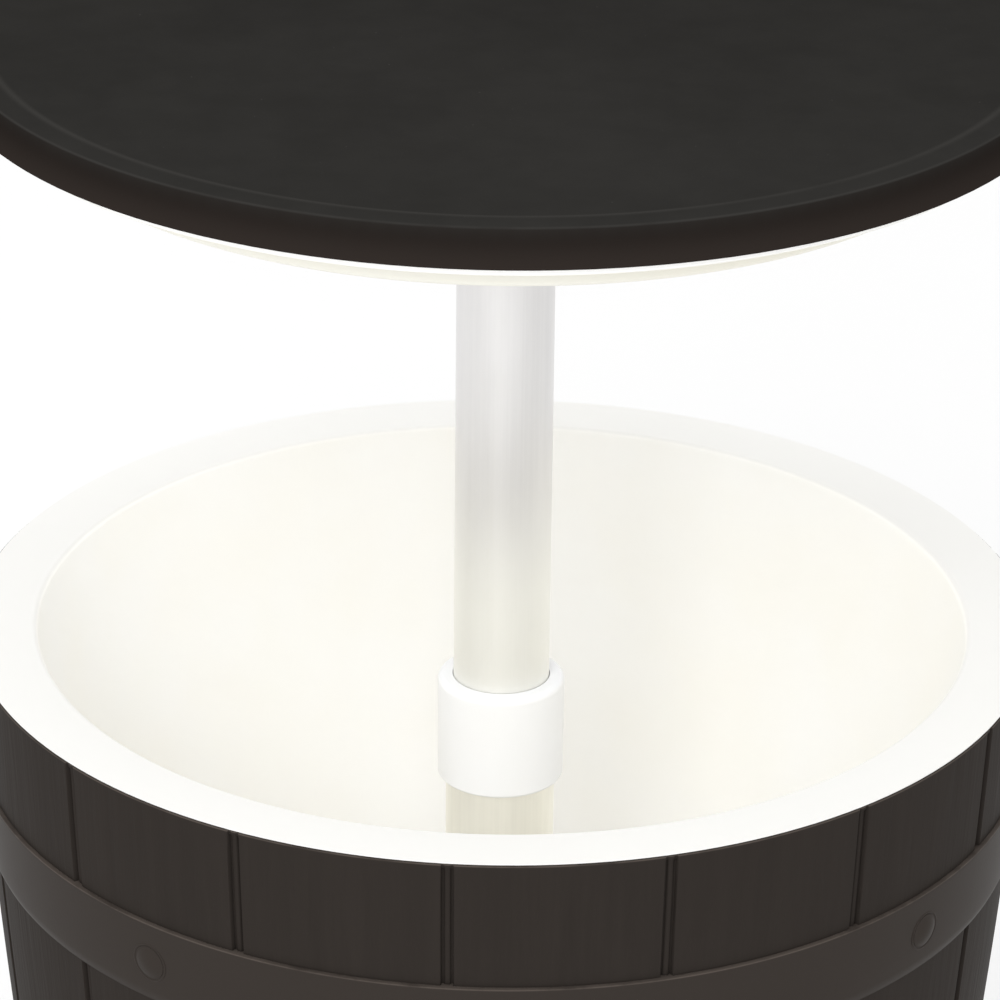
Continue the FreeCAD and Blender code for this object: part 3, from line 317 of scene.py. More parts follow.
def worn_edge(name):
    """Mask of an edge that handling has rubbed, at one level of a height or radius: wear with a painted
    highlight.
    """
    board, given, result = new_tree(name, "ShaderNodeTree", {
        "Place": "Vector", "Level": 0.0, "Edge": 0.0, "Reach": 0.001, "Breaks": 0.02}, {"Wear_and_highlight": "Float"})
    away = board.math("ABSOLUTE", board.math("SUBTRACT", given["Level"], given["Edge"]))
    near = board.spread(board.math("DIVIDE", away, given["Reach"]), 0.0, 1.0, 1.0, 0.0)
    spacing = board.math("DIVIDE", 0.5, given["Breaks"])
    breaks = board.noise(given["Place"], spacing, detail=4.0, roughness=0.7)
    held = board.spread(breaks, 0.30, 0.55, 0.25, 1.0)
    board.feed(result["Wear_and_highlight"], board.math("MULTIPLY", near, held))
    return board.tree


class Finish:
    """A material being made: its shader, its coordinates and the effects laid over them."""

    def __init__(self, name, roughness, metallic=0.0, specular=0.5):
        self.material = bpy.data.materials.new(name)
        self.material.use_nodes = True
        self.board = Board(self.material.node_tree)
        self.shader = self.material.node_tree.nodes["Principled BSDF"]
        self.shader.inputs["Roughness"].default_value = roughness
        self.shader.inputs["Metallic"].default_value = metallic
        self.shader.inputs["Specular IOR Level"].default_value = specular
        self.place = self.board.add("ShaderNodeTexCoord").outputs["Object"]
        split = self.board.add("ShaderNodeSeparateXYZ", {"Vector": self.place})
        self.height = split.outputs["Z"]
        self.depth = split.outputs["Y"]
        self.side = split.outputs["X"]
        square = self.board.math("MULTIPLY", split.outputs["X"], split.outputs["X"])
        self.radius = self.board.math(
            "SQRT", self.board.math("MULTIPLY_ADD", split.outputs["Y"], split.outputs["Y"], square))

    def effect(self, make, output, **values):
        """Place a shared effect and return one of its outputs."""
        node = self.board.add("ShaderNodeGroup", node_tree=shared_tree(make))
        self.board.feed(node.inputs["Place"], self.place)
        for name, value in values.items():
            self.board.feed(node.inputs[name], value)
        return node.outputs[output]

    def blend(self, mask, first, second):
        """Colour that goes from the first to the second as the mask rises."""
        node = self.board.add("ShaderNodeMix", data_type="RGBA", blend_type="MIX")
        self.board.feed(node.inputs[0], mask)
        for index, colour in ((6, first), (7, second)):
            wired = isinstance(colour, bpy.types.NodeSocket)
            self.board.feed(node.inputs[index], colour if wired else (*colour, 1.0))
        return node.outputs[2]

    def colour(self, value):
        self.board.feed(self.shader.inputs["Base Color"], value)

    def roughness(self, mask, low, high):
        self.board.feed(self.shader.inputs["Roughness"], self.board.spread(mask, 0.0, 1.0, low, high))

    def relief(self, *layers):
        """Bump from pairs of a height mask and its depth in metres, the coarsest first."""
        normal = None
        for mask, depth in layers:
            bump = self.board.add("ShaderNodeBump", {"Height": mask, "Distance": depth, "Strength": 1.0})
            if normal:
                self.board.feed(bump.inputs["Normal"], normal)
            normal = bump.outputs["Normal"]
        self.board.feed(self.shader.inputs["Normal"], normal)


def tint(colour, *factors):
    """The colour with its red, green and blue multiplied by these."""
    return tuple(part * factor for part, factor in zip(colour, factors))


def shade(colour, factor):
    return tint(colour, factor, factor, factor)


def ready(make):
    """The material that a function makes, made the first time that it is asked for."""
    name = plain_name(make.__name__)
    return bpy.data.materials.get(name) or make(name)


# Finishes


def barrel_plastic(name):
    """Dark grained plastic of the staves, smoother and lighter on the hoops, partly as painted sheen, and
    rubbed along the edges, with a painted highlight there.
    """
    sizes = bpy.context.scene.cooler_barrel
    colour = bpy.context.scene.cooler_finishes.barrel
    finish = Finish(name, 0.5, specular=0.035)
    board = finish.board
    broad = finish.effect(streaks, "Streak", Width=0.010, Length=0.30, Seed=1.0)
    fine = finish.effect(streaks, "Streak", Width=0.0022, Length=0.10, Seed=2.0)
    skin = finish.effect(moulded_skin, "Pebbles", Pebble=0.0006)
    mottle = finish.effect(moulded_skin, "Mottle", Patch=0.06)
    hoops = None
    # Wear with a painted highlight along the stave tops and the hoops' upper edges, where they catch the
    # light
    wear_and_highlight = finish.effect(worn_edge, "Wear_and_highlight", Level=finish.height, Edge=LIP_TOP - 0.5 * MM, Reach=0.6 * MM)
    half = sizes.hoop_width / 2
    for low in (sizes.upper_hoop, sizes.lower_hoop):
        away = board.math("ABSOLUTE", board.math("SUBTRACT", finish.height, low + half))
        band = board.spread(away, half - 1 * MM, half + 1 * MM, 1.0, 0.0)
        hoops = board.math("MAXIMUM", hoops, band) if hoops else band
        edge = low + sizes.hoop_width - 0.2 * MM
        hoop_wear_and_highlight = finish.effect(worn_edge, "Wear_and_highlight", Level=finish.height, Edge=edge, Reach=0.6 * MM)
        wear_and_highlight = board.math("MAXIMUM", wear_and_highlight, hoop_wear_and_highlight)
    grained = board.math("SUBTRACT", 1.0, hoops)
    grain = board.math("MULTIPLY_ADD", fine, 0.4, board.math("MULTIPLY", broad, 0.6))
    grain = board.math("MULTIPLY", grain, grained)
    tone = finish.blend(grain, shade(colour, 0.90), shade(colour, 1.12))
    tone = finish.blend(board.math("MULTIPLY", mottle, 0.5), tone, shade(colour, 1.06))
    # The hoops are painted lighter, partly as a painted sheen of their smoother face
    tone = finish.blend(board.math("MULTIPLY", hoops, 0.7), tone, shade(colour, 1.55))
    # The rubbed edges are painted 3.4 times lighter: wear together with a painted highlight
    finish.colour(finish.blend(wear_and_highlight, tone, shade(colour, 3.4)))
    gloss = board.math("MULTIPLY_ADD", hoops, -0.7, board.math("MULTIPLY_ADD", grain, 0.3, 0.7))
    finish.roughness(gloss, 0.42, 0.60)
    broad_relief = board.math("MULTIPLY", broad, grained)
    fine_relief = board.math("MULTIPLY", fine, grained)
    finish.relief((broad_relief, 0.00022), (fine_relief, 0.00010), (skin, 0.00004))
    return finish.material


def top_plastic(name):
    """Dark fine-textured plastic of the table top, browner on its side, with painted light and shade, and
    painted highlights along crest and lip.
    """
    colour = bpy.context.scene.cooler_finishes.top
    finish = Finish(name, 0.5, specular=0.0)
    board = finish.board
    pebbles = finish.effect(moulded_skin, "Pebbles", Pebble=0.0009)
    mottle = finish.effect(moulded_skin, "Mottle", Patch=0.045)
    cloud = finish.effect(moulded_skin, "Mottle", Patch=0.012)
    specks = board.spread(finish.effect(moulded_skin, "Pebbles", Pebble=0.0011), 0.74, 0.78)
    # Painted light: the top is paler towards the front, mixed in with the mottle
    painted_front_light = board.spread(finish.depth, 0.26, -0.26)
    mixed_mask = board.math("MULTIPLY_ADD", cloud, 0.2, board.math("MULTIPLY", mottle, 0.3))
    mixed_mask = board.math("MULTIPLY_ADD", painted_front_light, 0.5, mixed_mask)
    tone = finish.blend(mixed_mask, shade(colour, 0.82), shade(colour, 1.20))
    tone = finish.blend(board.math("MULTIPLY", specks, 0.5), tone, shade(colour, 3.0))
    side = board.spread(finish.radius, CREST_RADIUS - 1.2 * MM, CREST_RADIUS + 1.0 * MM)
    brown = tint(colour, 0.81, 0.65, 0.60)
    # Painted shade on the side band: darker near the crest, lighter towards its lower edge
    painted_shade_upward = board.spread(finish.height, SKIRT_END, TABLE_TOP - 1.5 * MM)
    side_tone_and_shade = finish.blend(painted_shade_upward, shade(brown, 1.30), shade(brown, 0.72))
    tone = finish.blend(board.math("MULTIPLY", side, 0.9), tone, side_tone_and_shade)
    # Painted highlight on the slope inside the lip, broken like wear
    lip_highlight = finish.effect(
        worn_edge, "Wear_and_highlight", Level=finish.radius, Edge=SLOPE_TOP - 1.5 * MM, Reach=3.5 * MM, Breaks=0.08)
    tone = finish.blend(board.math("MULTIPLY", lip_highlight, 0.7), tone, shade(colour, 1.75))
    # Painted highlight along the crest, broken like wear
    top_edge_highlight = finish.effect(
        worn_edge, "Wear_and_highlight", Level=finish.height, Edge=TABLE_TOP - 0.3 * MM, Reach=0.9 * MM, Breaks=0.05)
    outside = board.spread(finish.radius, CREST_RADIUS - 1.2 * MM, CREST_RADIUS - 0.2 * MM)
    crest_highlight = board.math("MULTIPLY", top_edge_highlight, outside)
    finish.colour(finish.blend(crest_highlight, tone, shade(colour, 1.4)))
    gloss = board.math("MULTIPLY_ADD", side, -0.4, board.math("MULTIPLY_ADD", mottle, 0.3, 0.6))
    finish.roughness(gloss, 0.38, 0.60)
    finish.relief((pebbles, 0.00010))
    return finish.material


def white_plastic(name, colour, roughness, pebble, relief, painted_light_levels=(), above=None, far=1.0):
    """White plastic with a faint cream mottle.

    Where two levels of height are given, it turns to the colour above over them, to paint shade on one
    side of them, and that colour is multiplied by the far factor towards the back, as painted light.
    """
    finish = Finish(name, roughness)
    board = finish.board
    pebbles = finish.effect(moulded_skin, "Pebbles", Pebble=pebble)
    mottle = finish.effect(moulded_skin, "Mottle", Patch=0.07)
    tone = finish.blend(mottle, tint(colour, 0.992, 0.982, 0.955), colour)
    if painted_light_levels:
        # Painted shade on one side of the levels, painted lighter towards the back by the far factor
        painted_back_light_mask = board.spread(finish.depth, 0.06, 0.25)
        upper = finish.blend(painted_back_light_mask, above, shade(above, far))
        tone = finish.blend(board.spread(finish.height, *painted_light_levels), tone, upper)
    finish.colour(tone)
    gloss = board.math("MULTIPLY_ADD", pebbles, 0.4, board.math("MULTIPLY", mottle, 0.6))
    finish.roughness(gloss, roughness - 0.05, roughness + 0.06)
    finish.relief((pebbles, relief))
    return finish.material


def tub_plastic(name):
    """White plastic of the tub, with painted shade on its flange that painted light lifts towards the
    back.
    """
    colour = bpy.context.scene.cooler_finishes.tub
    # Painted shade on the flange, painted lighter towards the back by the far factor
    return white_plastic(
        name, colour, roughness=0.42, pebble=0.0012, relief=0.00003,
        painted_light_levels=(RIM_TOP - 2.4 * MM, RIM_TOP - 1.2 * MM), above=shade(colour, 0.81), far=1.14)


def lid_plastic(name):
    """White plastic of the lid's underside, painted creamier and darker below its outer strip: painted
    shade and a painted reflection of the tub.
    """
    colour = bpy.context.scene.cooler_finishes.tub
    # Painted shade and a painted reflection of the cream tub below the outer strip
    return white_plastic(
        name, tint(colour, 0.855, 0.845, 0.785), roughness=0.42, pebble=0.0012, relief=0.00003,
        painted_light_levels=(LID_SEAT + 0.1 * MM, LID_SEAT + 1.2 * MM), above=colour)


def collar_plastic(name):
    """Smoother white plastic of the collar, cap and drain, with painted shade on the collar's upper face.
    """
    colour = bpy.context.scene.cooler_finishes.collar
    # Painted shade on the collar's upper face, next to the pole
    return white_plastic(
        name, colour, roughness=0.34, pebble=0.0007, relief=0.00002,
        painted_light_levels=(COLLAR_TOP - 2.2 * MM, COLLAR_TOP - 0.4 * MM), above=shade(colour, 0.91))


def drawn_metal(name, colour, roughness, painted_light_levels=(), below=None):
    """Drawn aluminium tube with fine lines along its length.

    Where two levels of height are given, it is duller under them and turns to the colour below, which
    paints a reflection there.
    """
    finish = Finish(name, roughness, metallic=1.0)
    board = finish.board
    lines = finish.effect(streaks, "Streak", Width=0.0007, Length=0.25, Seed=3.0)
    rubs = finish.effect(streaks, "Streak", Width=0.005, Length=0.04, Seed=4.0)
    clouds = finish.effect(moulded_skin, "Mottle", Patch=0.03)
    marks = board.math("MULTIPLY_ADD", lines, 0.5, board.math("MULTIPLY", rubs, 0.5))
    tone = finish.blend(marks, shade(colour, 0.93), colour)
    mixed_mask = board.math("MULTIPLY_ADD", lines, 0.2, board.math("MULTIPLY", clouds, 0.2))
    if painted_light_levels:
        # Under the levels the colour below is a painted reflection
        downward = board.spread(finish.height, *painted_light_levels, 1.0, 0.0)
        tone = finish.blend(downward, tone, below)
        mixed_mask = board.math("MULTIPLY_ADD", downward, 0.6, mixed_mask)
    finish.colour(tone)
    finish.roughness(mixed_mask, roughness, roughness + 0.34)
    finish.relief((lines, 0.000012))
    return finish.material


def pole_aluminium(name):
    """The pole, paler and warmer at its lower end, where a painted reflection of the cream tub and collar
    lies.
    """
    colour = bpy.context.scene.cooler_finishes.pole
    # Painted reflection of the cream tub and collar on the pole's lower end
    return drawn_metal(
        name, colour, roughness=0.30, painted_light_levels=(0.56, 0.64), below=tint(colour, 1.13, 1.14, 1.10))


def tube_aluminium(name):
    """The tube's warmer anodised aluminium."""
    return drawn_metal(name, bpy.context.scene.cooler_finishes.tube, roughness=0.48)


def plain_finish(name, colour, roughness, metallic, pebble):
    """Finish of the small pieces inside: a mottled colour with a fine skin."""
    finish = Finish(name, roughness, metallic=metallic)
    pebbles = finish.effect(moulded_skin, "Pebbles", Pebble=pebble)
    mottle = finish.effect(moulded_skin, "Mottle", Patch=0.01)
    finish.colour(finish.blend(mottle, shade(colour, 0.85), shade(colour, 1.1)))
    finish.roughness(mottle, roughness - 0.06, roughness + 0.08)
    finish.relief((pebbles, 0.00003))
    return finish.material


def grey_plastic(name):
    return plain_finish(name, (0.22, 0.22, 0.21), roughness=0.45, metallic=0.0, pebble=0.0006)


def seal_rubber(name):
    return plain_finish(name, (0.028, 0.028, 0.028), roughness=0.68, metallic=0.0, pebble=0.0004)


def zinc_steel(name):
    return plain_finish(name, (0.56, 0.56, 0.57), roughness=0.34, metallic=1.0, pebble=0.0005)


def studio_floor(name):
    """Pale matt floor with a very faint unevenness, and painted shade far off to the right."""
    studio = bpy.context.scene.cooler_studio
    finish = Finish(name, 0.9)
    mottle = finish.effect(moulded_skin, "Mottle", Patch=0.5)
    # Painted shade far off to the right, in the floor's colour and its glow, which darkens its reflection
    # in the pole and the right hoop
    away = finish.board.spread(finish.side, 0.6, 1.5)
    tone = finish.blend(mottle, shade(studio.floor, 0.99), studio.floor)
    finish.colour(finish.blend(away, tone, shade(studio.floor, 0.90)))
    white = (1.0, 1.0, 1.0)
    glow = finish.blend(away, white, shade(white, 0.85))
    finish.board.feed(finish.shader.inputs["Emission Color"], glow)
    finish.shader.inputs["Emission Strength"].default_value = studio.glow
    return finish.material


# Trees that repeat a piece or shape a surface


def finished(board, geometry, finish):
    """Last nodes of a tree: instances become real mesh, and it gets its finish."""
    real = board.add("GeometryNodeRealizeInstances", {"Geometry": geometry}).outputs[0]
    return board.add("GeometryNodeSetMaterial", {"Geometry": real, "Material": finish}).outputs[0]


def round_pattern(name):
    """Copies of a piece in a circle about the barrel's axis, joined where they meet."""
    board, given, result = new_tree(name, "GeometryNodeTree", {
        "Piece": "Geometry", "Count": 1, "First angle": 0.0, "Join distance": 0.0, "Finish": "Material",
    }, {"Pieces": "Geometry"})
    line = board.add("GeometryNodeMeshLine", {"Count": given["Count"], "Offset": (0.0, 0.0, 0.0)})
    step = board.math("DIVIDE", math.tau, given["Count"])
    index = board.add("GeometryNodeInputIndex").outputs[0]
    angle = board.math("MULTIPLY_ADD", index, step, given["First angle"])
    euler = board.add("ShaderNodeCombineXYZ", {"Z": angle}).outputs[0]
    turn = board.add("FunctionNodeEulerToRotation", {"Euler": euler}).outputs[0]
    copies = board.add("GeometryNodeInstanceOnPoints", {
        "Points": line.outputs[0], "Instance": given["Piece"], "Rotation": turn,
    }).outputs[0]
    real = board.add("GeometryNodeRealizeInstances", {"Geometry": copies}).outputs[0]
    joined = board.add("GeometryNodeMergeByDistance", {
        "Geometry": real, "Distance": given["Join distance"],
    }).outputs[0]
    board.feed(result["Pieces"], finished(board, joined, given["Finish"]))
    return board.tree


def grain_relief(name):
    """Streaks of moulded wood grain, raised out of the surface where its grain attribute says so."""
    board, given, result = new_tree(name, "GeometryNodeTree", {
        "Surface": "Geometry", "Depth": 0.0, "Width": 0.01, "Stretch": 28.0, "Seed": 0.0,
        "Finish": "Material",
    }, {"Surface": "Geometry"})
    place = board.add("GeometryNodeInputPosition").outputs[0]
    across = board.math("DIVIDE", 1.0, given["Width"])
    along = board.math("DIVIDE", across, given["Stretch"])
    scale = board.add("ShaderNodeCombineXYZ", {"X": across, "Y": across, "Z": along}).outputs[0]
    streak = board.noise(board.vector("MULTIPLY", place, scale), 0.5, detail=1.0, seed=given["Seed"])
    grain = board.add("GeometryNodeInputNamedAttribute", {"Name": "grain"}, data_type="FLOAT").outputs[0]
    twice = board.math("MULTIPLY", given["Depth"], 2.0)
    lift = board.math("MULTIPLY", board.math("SUBTRACT", streak, 0.5), twice)
    flat = board.vector("MULTIPLY", place, (1.0, 1.0, 0.0))
    outward = board.add("ShaderNodeVectorMath", {0: flat}, operation="NORMALIZE").outputs[0]
    offset = board.add("ShaderNodeVectorMath", {
        0: outward, "Scale": board.math("MULTIPLY", lift, grain),
    }, operation="SCALE").outputs[0]
    moved = board.add("GeometryNodeSetPosition", {
        "Geometry": given["Surface"], "Offset": offset,
    }).outputs[0]
    board.feed(result["Surface"], finished(board, moved, given["Finish"]))
    return board.tree


def apply_tree(piece, make, **values):
    """Run a geometry tree on a piece with these inputs and keep the plain mesh that it gives."""
    tree = shared_tree(make)
    modifier = piece.modifiers.new(tree.name, "NODES")
    modifier.node_group = tree
    sockets = {item.name: item.identifier for item in tree.interface.items_tree if item.in_out == "INPUT"}
    for name, value in values.items():
        modifier[sockets[plain_name(name)]] = value
    keep_result(piece)


def repeat(piece, count, first, finish, join_distance=0.0):
    """Copy a piece round the barrel's axis, from this angle on."""
    apply_tree(
        piece, round_pattern, Count=count, First_angle=first, Join_distance=join_distance, Finish=finish)


def keep_result(piece):
    """Make a piece's modifiers part of its mesh."""
    bpy.context.view_layer.update()
    evaluated = piece.evaluated_get(bpy.context.evaluated_depsgraph_get())
    mesh = bpy.data.meshes.new_from_object(evaluated)
    plain = piece.data
    piece.modifiers.clear()
    piece.data = mesh
    bpy.data.meshes.remove(plain)


# Pieces


def put(name, data):
    """New object of some data, put in the scene."""
    thing = bpy.data.objects.new(name, data)
    bpy.context.scene.collection.objects.link(thing)
    return thing


def new_piece(name, vertices, faces):
    mesh = bpy.data.meshes.new(name)
    mesh.from_pydata(vertices, [], faces)
    mesh.validate()
    return put(name, mesh)


def point_outwards(piece):
    """Turn all faces of a closed piece outwards."""
    surface = bmesh.new()
    surface.from_mesh(piece.data)
    bmesh.ops.remove_doubles(surface, verts=surface.verts, dist=1e-7)
    bmesh.ops.recalc_face_normals(surface, faces=surface.faces)
    surface.to_mesh(piece.data)
    surface.free()


def closed_piece(name, vertices, faces):
    """New piece whose faces are turned outwards."""
    piece = new_piece(name, vertices, faces)
    point_outwards(piece)
    return piece


def smooth(piece, sharp_degrees):
    """Shade smoothly, apart from the edges that turn by more than this."""
    piece.data.shade_smooth()
    piece.data.set_sharp_from_angle(angle=math.radians(sharp_degrees))


def ring_points(section, steps):
    """Points of a section, given as radius and height pairs, turned about Z."""
    angles = [math.tau * step / steps for step in range(steps)]
    return [
        Vector((radius * math.cos(angle), radius * math.sin(angle), height))
        for radius, height in section for angle in angles]


def ring_faces(rows, steps):
    """Faces between pairs of rows of such points."""
    faces = []
    for row, below in rows:
        here, under = row * steps, below * steps
        for step in range(steps):
            following = (step + 1) % steps
            faces.append((here + step, here + following, under + following, under + step))
    return faces


def turned(name, section, steps):
    """Closed ring: a closed section turned about Z."""
    rows = [(row, (row + 1) % len(section)) for row in range(len(section))]
    return closed_piece(name, ring_points(section, steps), ring_faces(rows, steps))


def lathe(name, section, steps, place=Matrix()):
    """Closed solid: a section that starts and ends on the axis, turned about Z and put in its place."""
    last = len(section) - 3
    vertices = ring_points(section[1:-1], steps)
    faces = ring_faces([(ring, ring + 1) for ring in range(last)], steps)
    for end, ring in ((0, 0), (-1, last * steps)):
        vertices.append(Vector((0.0, 0.0, section[end][1])))
        tip = len(vertices) - 1
        for step in range(steps):
            here, following = ring + step, ring + (step + 1) % steps
            faces.append((tip, following, here) if end == 0 else (tip, here, following))
    return closed_piece(name, [place @ vertex for vertex in vertices], faces)


def drum(radius, high, low, steps=64):
    """Cylinder round the drain's axis."""
    return lathe("drum", [(0.0, high), (radius, high), (radius, low), (0.0, low)], steps, DRAIN)


def rib(name, outline, thickness):
    """Flat rib in the XZ plane, given by the corners of its outline."""
    half = thickness / 2
    front = [(x, -half, z) for x, z in outline]
    back = [(x, half, z) for x, z in outline]
    count = len(outline)
    faces = [tuple(range(count)), tuple(reversed(range(count, 2 * count)))]
    for index in range(count):
        following = (index + 1) % count
        faces.append((following, index, count + index, count + following))
    return closed_piece(name, front + back, faces)


def combine(piece, other, operation):
    """Combine two closed pieces into the first and remove the second."""
    modifier = piece.modifiers.new("Combine", "BOOLEAN")
    modifier.operation = operation
    modifier.solver = "EXACT"
    modifier.object = other
    keep_result(piece)
    bpy.data.objects.remove(other)


def cut_away(piece, cutter):
    combine(piece, cutter, "DIFFERENCE")


def add_on(piece, addition):
    combine(piece, addition, "UNION")


def join(pieces):
    """Join several pieces into the first."""
    merged = bmesh.new()
    for piece in pieces:
        merged.from_mesh(piece.data)
    merged.to_mesh(pieces[0].data)
    merged.free()
    for piece in pieces[1:]:
        bpy.data.objects.remove(piece)
    return pieces[0]


def dress(piece, body, slot, *nodes):
    """Make a finished piece stand for its CAD nodes and ride on its body."""
    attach(piece, body)
    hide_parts(*nodes)


def paint(piece, material):
    piece.data.materials.clear()
    piece.data.materials.append(material)


def paint_nodes(material, *names):
    for name in names:
        paint(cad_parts[name], material)


# Barrel


def bow_centre():
    """Middle of the arc that bows the wall, as radius and height."""
    rise = LIP_TOP - FOOT_RISE
    spread = RIM_RADIUS - FOOT_RADIUS
    chord = math.hypot(rise, spread)
    reach = math.sqrt(BOW_RADIUS ** 2 - chord ** 2 / 4)
    across = (RIM_RADIUS + FOOT_RADIUS) / 2 - reach * rise / chord
    return across, (LIP_TOP + FOOT_RISE) / 2 + reach * spread / chord


def wall_radius(height, inset=0.0):
    """Radius of the bowed wall at a height, this far in from its outer face."""
    across, up = bow_centre()
    return across + math.sqrt((BOW_RADIUS - inset) ** 2 - (height - up) ** 2)


def evenly(high, low, step):
    """Heights from high to low, about a step apart."""
    count = max(1, round((high - low) / step))
    return [high + (low - high) * index / count for index in range(count + 1)]


def staved_rows(high, low, step):
    """Rows of the wall where the grooves run, with the grain faded out at both ends."""
    rows = []
    for height in evenly(high, low, step):
        fade = min(1.0, (high - height) / (4 * MM), (height - low) / (4 * MM))
        rows.append((wall_radius(height), height, 1.0, fade))
    return rows


def plain_rows(section):
    """Rows of a section with no grooves and no grain."""
    return [(radius, height, 0.0, 0.0) for radius, height in section]


def hoop_rows(low, width, proud):
    """Rows of a hoop: a square, slightly rounded upper edge and a lower edge that fades out."""
    high = low + width
    section = [
        (wall_radius(high) + proud * share, high - down)
        for down, share in ((0.0, 0.80), (0.15 * MM, 0.96), (0.5 * MM, 1.0))]
    section += [(wall_radius(at, -proud), at) for at in evenly(high - 2 * MM, low + 6 * MM, 8 * MM)]
    section += [
        (wall_radius(low + up) + proud * share, low + up)
        for up, share in ((4 * MM, 0.94), (2 * MM, 0.62), (0.0, 0.22))]
    return plain_rows(section)


def barrel_rows(sizes):
    """Section of the barrel from the lip down its outside, under its floor and up its inside.

    A row is a radius, a height, and the shares of the grooves' depth and of the grain there. The inside,
    which the tub hides, is straight up to the bead that holds the tub.
    """
    upper, lower, width = sizes.upper_hoop, sizes.lower_hoop, sizes.hoop_width
    outside = [
        (LIP_INNER, LIP_TOP, 0.0, 0.0),
        (RIM_RADIUS - LIP_CHAMFER, LIP_TOP, 0.05, 0.0),
        (RIM_RADIUS - 0.2 * LIP_CHAMFER, LIP_TOP - 0.35 * LIP_CHAMFER, 0.30, 0.0),
        (RIM_RADIUS, LIP_TOP - LIP_CHAMFER, 0.42, 0.0),
        (wall_radius(LEDGE), LEDGE, 0.42, 0.0),
        *staved_rows(LEDGE - 1 * MM, upper + width, 6 * MM),
        *hoop_rows(upper, width, sizes.hoop_proud),
        *staved_rows(upper, lower + width, 7.5 * MM),
        *hoop_rows(lower, width, sizes.hoop_proud),
        *staved_rows(lower, FOOT_RISE, 7.5 * MM),
    ]
    foot = [
        (RING_OUTER, FOOT_RISE), (RING_OUTER, RING_CHAMFER), (RING_OUTER - RING_CHAMFER, 0.0),
        (RING_INNER + RING_CHAMFER, 0.0), (RING_INNER, RING_CHAMFER), (RING_INNER, FLOOR_LOW),
        (FLOOR_HALFWAY, FLOOR_LOW), (BOSS_OUTER, FLOOR_LOW), (BOSS_OUTER, BOSS_END),
        (BOSS_INNER, BOSS_END), (BOSS_INNER, FLOOR_LOW), (SCREW_HOLE, FLOOR_LOW), (SCREW_HOLE, FLOOR_TOP),
        (TUBE_HOLE, FLOOR_TOP), (TUBE_HOLE, SOCKET_TOP), (SOCKET_OUTER, SOCKET_TOP),
        (SOCKET_OUTER, FLOOR_TOP), (FLOOR_HALFWAY, FLOOR_TOP),
    ]
    bead, bead_half = LEDGE - 7.5 * MM, 1.5 * MM
    inside = [
        (wall_radius(FLOOR_TOP, SHELL_WALL), FLOOR_TOP),
        (wall_radius(bead - bead_half, SHELL_WALL), bead - bead_half),
        (wall_radius(bead, SHELL_WALL) - 0.9 * MM, bead),
        (wall_radius(bead + bead_half, SHELL_WALL), bead + bead_half),
        (wall_radius(LEDGE, SHELL_WALL), LEDGE),
        (LIP_INNER - 0.8 * MM, LEDGE),
    ]
    return outside + plain_rows(foot + inside)


def stave_columns(sizes, radius):
    """Angles across one stave at a radius, from groove to groove, each with its share of the depth."""
    half_groove = sizes.groove_width / 2
    pitch = math.tau / sizes.staves
    near = [(share * half_groove / radius, depth) for share, depth in GROOVE_SECTION]
    first = near[-1][0]
    face = [
        (first + (pitch - 2 * first) * index / (FACE_COLUMNS + 1), 0.0)
        for index in range(1, FACE_COLUMNS + 1)
    ]
    return near + face + [(pitch - angle, depth) for angle, depth in reversed(near)]


def stave(sizes):
    """One stave of the barrel, from the middle of one groove to the middle of the next."""
    rows = barrel_rows(sizes)
    vertices = []
    grains = []
    for radius, height, grooved, grain in rows:
        columns = stave_columns(sizes, radius if grooved else RIM_RADIUS)
        for angle, depth in columns:
            reach = radius - sizes.groove_depth * depth * grooved
            vertices.append((reach * math.cos(angle), reach * math.sin(angle), height))
            grains.append(grain if depth == 0 else 0.0)
    width = len(columns)
    faces = []
    for row in range(len(rows)):
        below = (row + 1) % len(rows)
        for column in range(width - 1):
            faces.append((
                row * width + column, below * width + column,
                below * width + column + 1, row * width + column + 1))
    piece = new_piece("barrel", vertices, faces)
    layer = piece.data.attributes.new("grain", "FLOAT", "POINT")
    layer.data.foreach_set("value", grains)
    return piece


def barrel():
    """The barrel: staves with moulded grain, two hoops, a foot ring and a floor."""
    sizes = bpy.context.scene.cooler_barrel
    material = ready(barrel_plastic)
    piece = stave(sizes)
    repeat(piece, sizes.staves, sizes.first_groove, material, join_distance=1e-5)
    apply_tree(
        piece, grain_relief, Depth=sizes.grain_depth, Width=sizes.grain_width, Seed=7.0, Finish=material)
    pipe_hole = 13.45 * MM
    cut_away(piece, drum(pipe_hole, 30.0 * MM, -10.0 * MM, 48))
    smooth(piece, 38.0)
    dress(piece, "barrel", "black_plastic", "barrel_shell")


